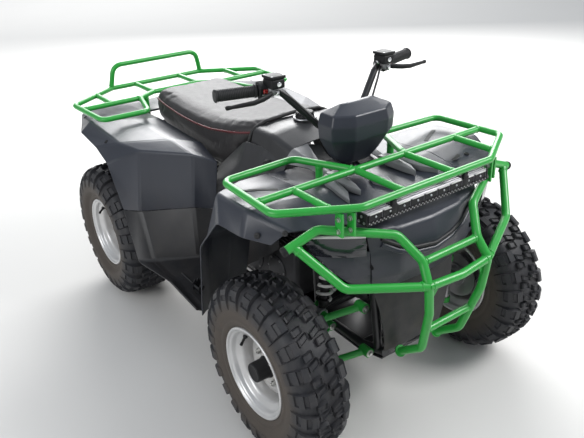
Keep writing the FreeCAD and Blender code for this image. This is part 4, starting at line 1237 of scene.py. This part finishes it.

# %% [markdown]
# ## Light bar and headlights
# The light bar is an extruded alloy housing with fins along its back, a row of smoked cells parted by
# black webs under short pale brows that are a painted highlight on the top of each cell, and a black
# dotted strip below. The headlights are smoked lenses with a pale tube along the upper edge, a painted
# highlight.

# %% Light bar
LIGHT_BACK, LIGHT_TOP, FIN_STEP = -0.752, 0.778, 0.0086
housing_line = [(-0.786, 0.744), (-0.7895, 0.748), (-0.7895, 0.772), (-0.786, LIGHT_TOP)]
for k in range(4):
    y = -0.784 + k * FIN_STEP
    housing_line += [(y, LIGHT_TOP), (y + 0.0008, LIGHT_TOP - 0.0045), (y + 0.0046, LIGHT_TOP - 0.0045),
        (y + 0.0054, LIGHT_TOP)]
housing_line += [(LIGHT_BACK, LIGHT_TOP - 0.001), (LIGHT_BACK, 0.746), (-0.756, 0.743)]
bar_body = prism("light_housing", housing_line, -0.234, 0.234, LIGHT_ALLOY, 0.0006)
mask = boxy("light_mask", (-0.2325, -0.7906, 0.7530), (0.2325, -0.7885, 0.7722), CONTROL, 0.0006, 1)
bar_ends = [boxy("light_end", (x0, -0.7915, 0.742), (x1, -0.7525, 0.7778), CONTROL, 0.003, 3) for x0,
    x1 in ((-0.238, -0.2325), (0.2325, 0.238))]
CELL_COUNT, CELL_PITCH = 9, 0.0512
reflector = raw("reflector", [(x * w, y, z * h) for w, h, y in ((0.0232, 0.0088, -0.0022),
    (0.0150, 0.0050, 0.006)) for x, z in ((-1, -1), (1, -1), (1, 1), (-1, 1))],
    [(0, 1, 5, 4), (1, 2, 6, 5), (2, 3, 7, 6), (3, 0, 4, 7), (4, 5, 6, 7)], SMOKED)
cell_at = [Matrix.Translation((-0.2048 + k * CELL_PITCH, -0.7905, 0.7635)) for k in range(CELL_COUNT)]
cells = repeat("light_cells", reflector, cell_at, SMOKED, 20)
lamp = turned("lamp", [(-0.0035, 0.0), (-0.002, 0.0030), (0.005, 0.0036)], 0.001, CLEAR_LENS, 16, axis="Y",
    angle=50)
lamps = repeat("light_lamps", lamp, cell_at, CLEAR_LENS, 50)
web = boxy("web", (-0.0017, -0.0035, -0.0105), (0.0017, 0.001, 0.0105), CONTROL, 0.0006, 1)
webs = repeat("light_webs", web, [Matrix.Translation((-0.2304 + k * CELL_PITCH, -0.7905, 0.7635))
    for k in range(CELL_COUNT + 1)], CONTROL)
strip = boxy("light_strip", (-0.2325, -0.7912, 0.7425), (0.2325, -0.786, 0.7530), CONTROL, 0.001, 2)
# The pale brows over the cells are a painted highlight on the top edge of each cell.
brow_bar = boxy("light_brow_bar", (-0.0215, -0.7924, 0.7722), (0.0215, -0.786, 0.7748), SPRING_PAINT_AND_HIGHLIGHT, 0.0007, 2)
brow = repeat("light_brow", brow_bar, [Matrix.Translation((-0.2048 + k * CELL_PITCH, 0, 0))
    for k in range(CELL_COUNT)], SPRING_PAINT_AND_HIGHLIGHT)
dot = lathe("dot", [(-0.0006, 0.0), (-0.0006, 0.0022), (0.0012, 0.0024)], (0, 0, 0), LIGHT_ALLOY, 10, "Y")
dots = repeat("light_dots", dot, [Matrix.Translation((-0.2275 + k * 0.0065, -0.7913,
    0.7478 + 0.0022 * (-1) ** k)) for k in range(71)], LIGHT_ALLOY)
brackets = []
for x in (-0.140, 0.140):
    brackets.append(boxy("light_clamp", (x - 0.011, -0.7935, 0.752), (x + 0.011, -0.7500, 0.7805), CONTROL,
        0.002, 2))
    brackets.append(boxy("light_stem", (x - 0.008, -0.7925, 0.770), (x + 0.008, -0.780, 0.7912), CONTROL,
        0.002, 2))
light_bolts = [along_matrix((x * 1.0006, -0.772 + dy, 0.752 + dz), (x, 0, 0)) for x in (-0.2378, 0.2378)
    for dy, dz in ((-0.011, 0), (0.009, 0), (-0.001, 0.016))]
bolt_head = lathe("bolt_head", rounded([(-0.001, 0.0), (-0.001, 0.0042), (0.0026, 0.0042), (0.0026, 0.0021),
    (0.0008, 0.0)], 0.0005), (0, 0, 0), MACHINED, 6, "Z")
end_bolts = repeat("light_bolts", bolt_head, light_bolts, MACHINED)
place(join("light_bar_dressed", [bar_body, mask, cells, lamps, webs, strip, brow, dots, end_bolts]
    + bar_ends + brackets), "root", "light_alloy", "light_bar")

# %% Headlights
LENS_TOP = [(232, -781, 712), (280, -758, 717), (330, -725, 721), (374, -694, 722)]
LENS_LOW = [(222, -777, 648), (268, -757, 651), (310, -731, 656), (344, -703, 662)]


def lens_row(share, out):
    """A line between the lens's top and low edges, pushed outwards."""
    row = []
    for top, low in zip(LENS_TOP, LENS_LOW):
        at = Vector(top).lerp(Vector(low), share)
        row.append(tuple(at + Vector((0.55, -0.80, 0.12)) * out))
    return row


lens = moulded("headlight_lens", [lens_row(t, 5.0 * math.sin(math.pi * (0.12 + 0.8 * t)) - 4)
    for t in (0, 0.2, 0.45, 0.7, 1)][::-1], 5.0, DARK_LENS, 0.010, 0.0015, 2)
# A pale tube along only the upper edge of each lens is a painted highlight.
edge_line = [Vector(p) + Vector((0.6, -1.2, 0.5)) for p in lens_row(0.02, 1.0)]
edge_highlight = tubes("headlight_edge", [edge_line], 4.0, 8, SPRING_PAINT_AND_HIGHLIGHT, sides=12)
inner_line = [Vector(p) + Vector((0.2, -0.6, 0)) for p in lens_row(0.30, 2.2)]
trim_line = tubes("headlight_trim", [inner_line], 1.5, 8, MACHINED, sides=8)
place(both_sides(join("headlight", [lens, edge_highlight, trim_line])), "root", "lens_dark", "headlights")
CHEEK_ROWS = [[(206, -771, 655), (262, -752, 655), (338, -699, 660)],
    [(202, -769, 610), (250, -752, 608), (300, -722, 606)], [(196, -764, 570), (228, -753, 568),
    (262, -737, 566)], [(184, -752, 528), (202, -746, 528), (222, -739, 530)]]
place(both_sides(moulded("headlight_cheek", CHEEK_ROWS[::-1], 3.0, FENDER, 0.010)), "root", "body_plastic")
# The chin guard is a near-black sheet set in the shadowed space behind the bumper, where it paints that
# shade.
CHIN_ROWS = [[(-x, y, z), (-x * 0.6, y - 8, z), (x * 0.6, y - 8, z), (x, y, z)]
             for x, y, z in ((170, -742, 512), (150, -757, 430), (128, -756, 330), (118, -748, 262))]
place(moulded("chin_guard", CHIN_ROWS, 3.0, GRILLE_AND_SHADE_FILL, 0.012), "root", "black_steel")

# %% [markdown]
# ## Shocks, muffler and tail lamps
# Each shock is a damper body with a chromed rod inside a coil spring. Geometry Nodes sweep the coil, and the
# seats, bushes and mounting eyes are turned. The muffler hangs under the left rack leg from two straps.

# %% Shocks
def eye_ring(name, at, axis_way, outer, bore, width, material):
    line = rounded([(-width, bore), (-width, outer), (width, outer), (width, bore), (-width, bore)], 0.0015)
    made = smooth(lathe(name, line, (0, 0, 0), material, 32, "Z"), 40)
    return moved(made, along_matrix(at, axis_way))


def shock(name, low, high, coil, wire, turns, low_way, eye_low, eye_high):
    """A coil-over shock between two eyes; sizes in metres."""
    way = (high - low).normalized()
    length = (high - low).length
    coil_mesh = bpy.data.meshes.new(name + "_coil")
    spring = run_tree(link(name + "_coil", coil_mesh), COIL, Turns=turns, Radius=coil, Height=length * 0.60,
        Wire=wire, Material=SPRING_PAINT_AND_HIGHLIGHT)
    smooth(spring, 60)
    moved(spring, Matrix.Translation((0, 0, length * 0.19)))
    body = turned(name + "_body", [(0.018, 0.0), (0.018, 0.010), (length * 0.12, 0.012),
        (length * 0.13, coil * 0.60), (length * 0.16, coil * 0.60), (length * 0.165, coil * 1.10),
        (length * 0.19, coil * 1.10), (length * 0.195, coil * 0.66), (length * 0.56, coil * 0.66),
        (length * 0.57, coil * 0.52), (length * 0.58, 0.0)], 0.0012, CONTROL, 36)
    stem = lathe(name + "_rod", [(length * 0.55, 0.0), (length * 0.55, 0.0065), (length * 0.80, 0.0065),
        (length * 0.80, 0.0)], (0, 0, 0), CHROME, 24, "Z")
    cap = turned(name + "_cap", [(length * 0.785, 0.0), (length * 0.785, coil * 1.12),
        (length * 0.81, coil * 1.12), (length * 0.83, coil * 0.55), (length - 0.016, 0.011),
        (length - 0.016, 0.0)], 0.0015, CONTROL, 36)
    whole = join(name, [spring, body, stem, cap])
    moved(whole, along_matrix(low, way))
    rings = [eye_ring(name + "_low_eye", low, low_way, eye_low + 0.007, eye_low + 0.0006, 0.014, CAST),
        eye_ring(name + "_high_eye", high, (1, 0, 0), eye_high + 0.007, eye_high + 0.0006, 0.014, CAST)]
    return join(name, [whole] + rings)


front_shock = shock("front_shock", mm(245, -600, 380), mm(172, -590, 620), 0.0215, 0.0046, 6.2, (0, 1, 0),
    0.012, 0.012)
place(both_sides(front_shock), "root", "spring_grey", "front_shocks")
place(shock("rear_shock", mm(0, 475, 345), mm(0, 400, 620), 0.0270, 0.0052, 6.5, (1, 0, 0), 0.012, 0.012),
    "root", "spring_grey", "rear_shocks")

# %% Muffler
can_line = rounded([(0.0, 0.0), (0.002, 0.028), (0.010, 0.044), (0.016, 0.0485), (0.022, 0.0485),
    (0.024, 0.0465), (0.268, 0.0465), (0.270, 0.0485), (0.276, 0.0485), (0.284, 0.043), (0.290, 0.026),
    (0.290, 0.0)], 0.002)
can = smooth(lathe("muffler_can", can_line, (0, 0, 0), EXHAUST, 56, "Z"), 35)
tip = turned("muffler_tip", [(0.285, 0.0165), (0.335, 0.0165), (0.335, 0.0135), (0.290, 0.0135)], 0.0008,
    MACHINED, 32)
strap_line = rounded([(-0.009, 0.0466), (-0.009, 0.0488), (0.009, 0.0488), (0.009, 0.0466)], 0.0006)
straps = [smooth(lathe("strap", strap_line, (0, 0, along), BLACK_STEEL, 56, "Z"), 40)
    for along in (0.090, 0.230)]
shield = raw("heat_shield", [(0.0515 * math.sin(t), 0.0515 * math.cos(t), z) for z in (0.11, 0.21)
    for t in [math.radians(a) for a in range(40, 141, 10)]], [(i, i + 1, i + 12, i + 11)
    for i in range(10)], BLACK_STEEL)
modifier(shield, "SOLIDIFY", thickness=0.0015)
shield = smooth(plain(shield), 40)
muffler = join("muffler_can", [can, tip, shield] + straps)
moved(muffler, along_matrix(mm(215, 560, 596), mm(215, 850, 606) - mm(215, 560, 596)))
hangers = [boxy("muffler_hanger", mm(139.3, y - 12, 630), mm(207, y + 12, 636), BLACK_STEEL, 0.0015, 2)
    for y in (650, 790)]
place(join("muffler_dressed", [muffler] + hangers), "root", "exhaust_black", "muffler")

# %% Tail lamps
lamp_body = boxy("lamp_body", mm(105, 866, 650), mm(180, 878, 690), CONTROL, 0.004, 3)
lamp_lens = boxy("lamp_lens", mm(107.5, 874, 652.5), mm(177.5, 886, 687.5), RED_LENS, 0.005, 4)
lamp_rib = boxy("lamp_rib", (-0.0008, -0.001, -0.0165), (0.0008, 0.0012, 0.0165), RED_LENS, 0.0004, 1)
lamp_ribs = repeat("lamp_ribs", lamp_rib, [Matrix.Translation(mm(112.5 + k * 5.45, 886.2, 670))
    for k in range(12)], RED_LENS)
place(both_sides(join("tail_lamp", [lamp_body, lamp_lens, lamp_ribs])), "root", "lens_red", "tail_lamps")

# %% [markdown]
# ## Engine
# Only glimpses of the engine show between the footboards and the panels, so it keeps its block shape and
# gets the fins of the cylinder, the round clutch and starter covers and their bolts. Its alloy is near
# black as painted shade, for the shadow that the engine stands in.

# %% Engine
crank = boxy("crankcase", mm(-137, -330, 239.4), mm(137, 150, 424), ENGINE_PAINTED_SHADE, 0.018, 4)
fins = [boxy("fin", mm(-140, -330 + inset, z), mm(140, 150 - inset, z + 6), ENGINE_PAINTED_SHADE, 0.002, 2) for inset,
    z in ((6, 432), (0, 447), (0, 462), (0, 477), (0, 492), (0, 507), (0, 522), (6, 537), (14, 552))]
barrel = boxy("cylinder", mm(-134, -324, 420), mm(134, 144, 560), ENGINE_PAINTED_SHADE, 0.010, 3)
rocker_box = boxy("rocker_box", mm(-118, -300, 556), mm(118, 120, 575), ENGINE_PAINTED_SHADE, 0.008, 3)
cover_line = rounded([(-0.004, 0.0), (-0.004, 0.088), (0.004, 0.088), (0.006, 0.080), (0.010, 0.074),
    (0.012, 0.050), (0.009, 0.046), (0.010, 0.0)], 0.002)
small_line = rounded([(-0.004, 0.0), (-0.004, 0.052), (0.004, 0.052), (0.008, 0.042), (0.008, 0.0)], 0.002)
covers = []
for side in (-1, 1):
    for line, y, z in ((cover_line, -40, 330), (small_line, -215, 318)):
        made = smooth(lathe("engine_cover", line, (0, 0, 0), ENGINE_PAINTED_SHADE, 56, "Z"), 40)
        covers.append(moved(made, along_matrix(mm(side * 137, y, z), (side, 0, 0))))
cover_bolts = [along_matrix(mm(side * 141, y + r * math.cos(t), z + r * math.sin(t)), (side, 0, 0))
    for side in (-1, 1) for y, z, r, count in ((-40, 330, 84, 10), (-215, 318, 47, 6))
    for t in [2 * math.pi * k / count for k in range(count)]]
engine_bolt = lathe("engine_bolt", rounded([(-0.002, 0.0), (-0.002, 0.0048), (0.0036, 0.0048),
    (0.0036, 0.0)], 0.0006), (0, 0, 0), MACHINED, 6, "Z")
engine_bolts = repeat("engine_bolts", engine_bolt, cover_bolts, MACHINED)
place(join("engine_dressed", [crank, barrel, rocker_box, engine_bolts] + fins + covers), "root",
    "cast_alloy", "engine")

# %% [markdown]
# ## Fasteners, welds and foot gear
# The bars are joined by welds that stand a little proud, the plates and panels by bolts and push pins. The
# foot space has three long ribs and a serrated peg.

# %% Welds
BEAD_R = 0.0105                       # the bead is made for a tube of this radius
WELDS = [                             # at, direction, tube radius (millimetres, mirrored)
    ((427.5, -587, 802), (1, 0, 0), 10.5), ((98, -598.5, 802), (0, 1, 0), 10),
    ((98, -775, 802), (0, 1, 0), 10), ((317, -598.5, 802), (0, 1, 0), 10),
    ((317, -733, 802), (0, 1, 0), 10), ((103.5, -574.5, 802), (82, 187, 0), 10.5),
    ((145, -479, 790.5), (0, 0, 1), 11), ((203.5, 681, 767), (1, 0, 0), 10.5),
    ((428.5, 681, 767), (1, 0, 0), 10.5), ((109, 745, 767), (0, 1, 0), 10.5),
    ((109, 908.5, 767), (0, 1, 0), 10.5), ((320, 692.5, 767), (0, 1, 0), 10.5),
    ((320, 838, 767), (0, 1, 0), 10.5), ((160, 700, 755), (0, 0, 1), 11),
    ((222.6, 919, 779), (-20, -8, 100), 10.5), ((96, -872, 628), (1, 0, 0), 11),
    ((83, -883, 407), (1, 0, 0), 11), ((107, -910, 573.6), (120, 9, 4), 12.5),
    ((137, -900, 577.5), (205, 99, 26), 12.5), ((405, -722, 704), (90, 98, 117), 12.5)]
bead = turned("weld", [(-0.0034, BEAD_R - 0.001), (-0.0016, BEAD_R + 0.0016), (0.0016, BEAD_R + 0.0016),
    (0.0034, BEAD_R - 0.001)], 0.0012, GREEN, 24, angle=60)
weld_at = [along_matrix(mm(side * at[0], at[1], at[2]), (side * way[0], way[1], way[2]))
    @ Matrix.Scale(radius / 1000 / BEAD_R, 4) for at, way, radius in WELDS for side in (-1, 1)]
place(repeat("welds", bead, weld_at, GREEN, 60), "root", "green_steel")

# %% Bolts and pins
hex_bolt = lathe("hex_bolt", rounded([(-0.001, 0.0), (-0.001, 0.0085), (0.0005, 0.0085), (0.0005, 0.0065),
    (0.0050, 0.0065), (0.0060, 0.0052), (0.0060, 0.0)], 0.0004), (0, 0, 0), ZINC, 6, "Z")
bolt_at = []
for side in (-1, 1):
    for x, y in ((268, -768), (298, -756)):
        for z in (738, 772):
            for face_side in (-1, 1):
                bolt_at.append(along_matrix(mm(side * x + face_side * 3, y, z), (face_side, 0, 0)))
    for y in (-690, -510):
        bolt_at.append(along_matrix(mm(side * 140.3, y - 19, 241), (0, -1, 0)))
        bolt_at.append(along_matrix(mm(side * 140.3, y + 19, 241), (0, 1, 0)))
    for y in (-675, -525):
        bolt_at.append(along_matrix(mm(side * 146.3, y - 19, 400), (0, -1, 0)))
        bolt_at.append(along_matrix(mm(side * 146.3, y + 19, 400), (0, 1, 0)))
    for y in (-450, -100, 150):
        bolt_at.append(along_matrix(mm(side * 105, y, 205.5), (0, 0, -1)))
washer = lathe("washer", rounded([(-0.0010, 0.0068), (-0.0010, 0.0128), (0.0012, 0.0128), (0.0012, 0.0068),
    (-0.0010, 0.0068)], 0.0003), (0, 0, 0), ZINC, 28, "Z")
washers = repeat("washers", washer, [m for m in bolt_at if abs(m[0][3]) > 0.1 and m[2][3] < 0.45], ZINC, 30)
place(join("bolts", [repeat("hex_bolts", hex_bolt, bolt_at, ZINC, 30), washers]), "root", "hub_steel")

push_pin = turned("push_pin", [(-0.001, 0.0), (-0.001, 0.0088), (0.0012, 0.0080), (0.0016, 0.0030),
    (0.0008, 0.0025), (0.0008, 0.0)], 0.0005, CONTROL, 20, angle=50)

pin_at = []
for holder, points in (("front_fender_left_panel", [(462, -330, 690), (470, -620, 730), (330, -640, 775),
        (470, -330, 420), (300, -300, 600), (430, -690, 745)]), ("rear_fenders",
        [(460, 420, 705), (330, 300, 745), (330, 640, 745), (420, 760, 720), (300, 60, 640)]),
        ("nose_panel_skin", [(222, -680, 760), (222, -420, 765), (205, -772, 600)])):
    surface = tree_of(bpy.data.objects[holder])
    for x, y, z in points:
        at, out, _, _ = surface.find_nearest(mm(x, y, z))
        if out.dot(mm(x, y, z) - at) < 0:
            out = -out
        pin_at.append(along_matrix(at, out))
pins = repeat("push_pins", push_pin, pin_at, CONTROL, 40)
place(both_sides(pins), "root", "cap_black")

# %% Bumper ends, gussets and foot gear
cap_line = rounded([(-0.010, 0.0), (-0.010, 0.0138), (0.0015, 0.0138), (0.0040, 0.0100), (0.0046, 0.0)],
    0.0015)
stub = smooth(lathe("bumper_trim", cap_line, (0, 0, 0), CONTROL, 28, "Z"), 50)
moved(stub, along_matrix(mm(444, -708, 707), mm(444, -708, 707) - mm(345, -723, 746)))
foot_line = [(-0.004, 0.0), (-0.004, 0.0182), (0.0022, 0.0182), (0.0022, 0.0105), (-0.0010, 0.0098),
    (-0.0010, 0.0)]
foot_cap = turned("bumper_foot", foot_line, 0.0008, GREEN, 32, angle=50)
moved(foot_cap, along_matrix(mm(78, -776, 262), mm(78, -776, 262) - mm(80, -862, 326)))
gusset = prism("gusset", [(-0.9060, 0.560), (-0.9060, 0.520), (-0.9085, 0.556)], 0.112, 0.118, GREEN, 0.001)
gusset_plate = raw("gusset_plate", [mm(*p) for p in ((118, -907, 562), (80, -911, 560), (108, -905, 512),
    (118, -903, 562), (80, -907, 560), (108, -901, 512))], [(0, 1, 2), (3, 5, 4), (0, 3, 4, 1),
    (1, 4, 5, 2), (2, 5, 3, 0)], GREEN)
solid_normals(gusset_plate)
place(both_sides(stub), "root", "cap_black")
place(both_sides(join("bumper_steel", [foot_cap, gusset_plate, gusset])), "root", "green_steel")

floor_tree = tree_of(bpy.data.objects["footboard_left_panel"])


def on_floor(x, y, lift=0.0):
    at = floor_tree.ray_cast(mm(x, y, 420), Vector((0, 0, -1)))[0]
    return (at + Vector((0, 0, lift))) * 1000


ribs = tubes("foot_ribs", [[tuple(on_floor(x, y, 0.0006)) for y in range(-228, 21, 31)]
    for x in (262, 318, 400)], 4.0, 3, FOOT, sides=12)
sill = tubes("foot_sill", [[(466 + 12 * t, -18 - 217 * t, 299 + 2 * t) for t in (0, 0.5, 1)]], 4.2, 3, FOOT,
    sides=12)
teeth = []
for k in range(13):
    x = 0.258 + k * 0.0125
    teeth += [(x, 0.0), (x + 0.0030, 0.0075), (x + 0.0075, 0.0075), (x + 0.0105, 0.0)]
blade_line = [(0.250, -0.030)] + [(0.250, 0.0)] + teeth + [(0.424, 0.0), (0.424, -0.030)]
plates = [moved(prism("peg_plate", blade_line, -0.0018, 0.0018, BLACK_STEEL, 0.0004, "Y"),
    Matrix.Translation(mm(0, y, 322))) for y in (-152, -108)]
rods = [lathe("peg_rod", [(0.0, 0.0), (0.0, 0.005), (0.044, 0.005), (0.044, 0.0)], mm(x, -152, 308),
    BLACK_STEEL, 16, "Y") for x in (262, 318, 374, 418)]
foot_feet = [boxy("peg_foot", mm(x - 8, -156, 284), mm(x + 8, -104, 296), BLACK_STEEL, 0.002, 2)
    for x in (262, 412)]
place(both_sides(join("foot_ribs", [ribs, sill])), "root", "foot_plastic")
place(both_sides(join("foot_pegs", plates + rods + foot_feet)), "root", "black_steel")
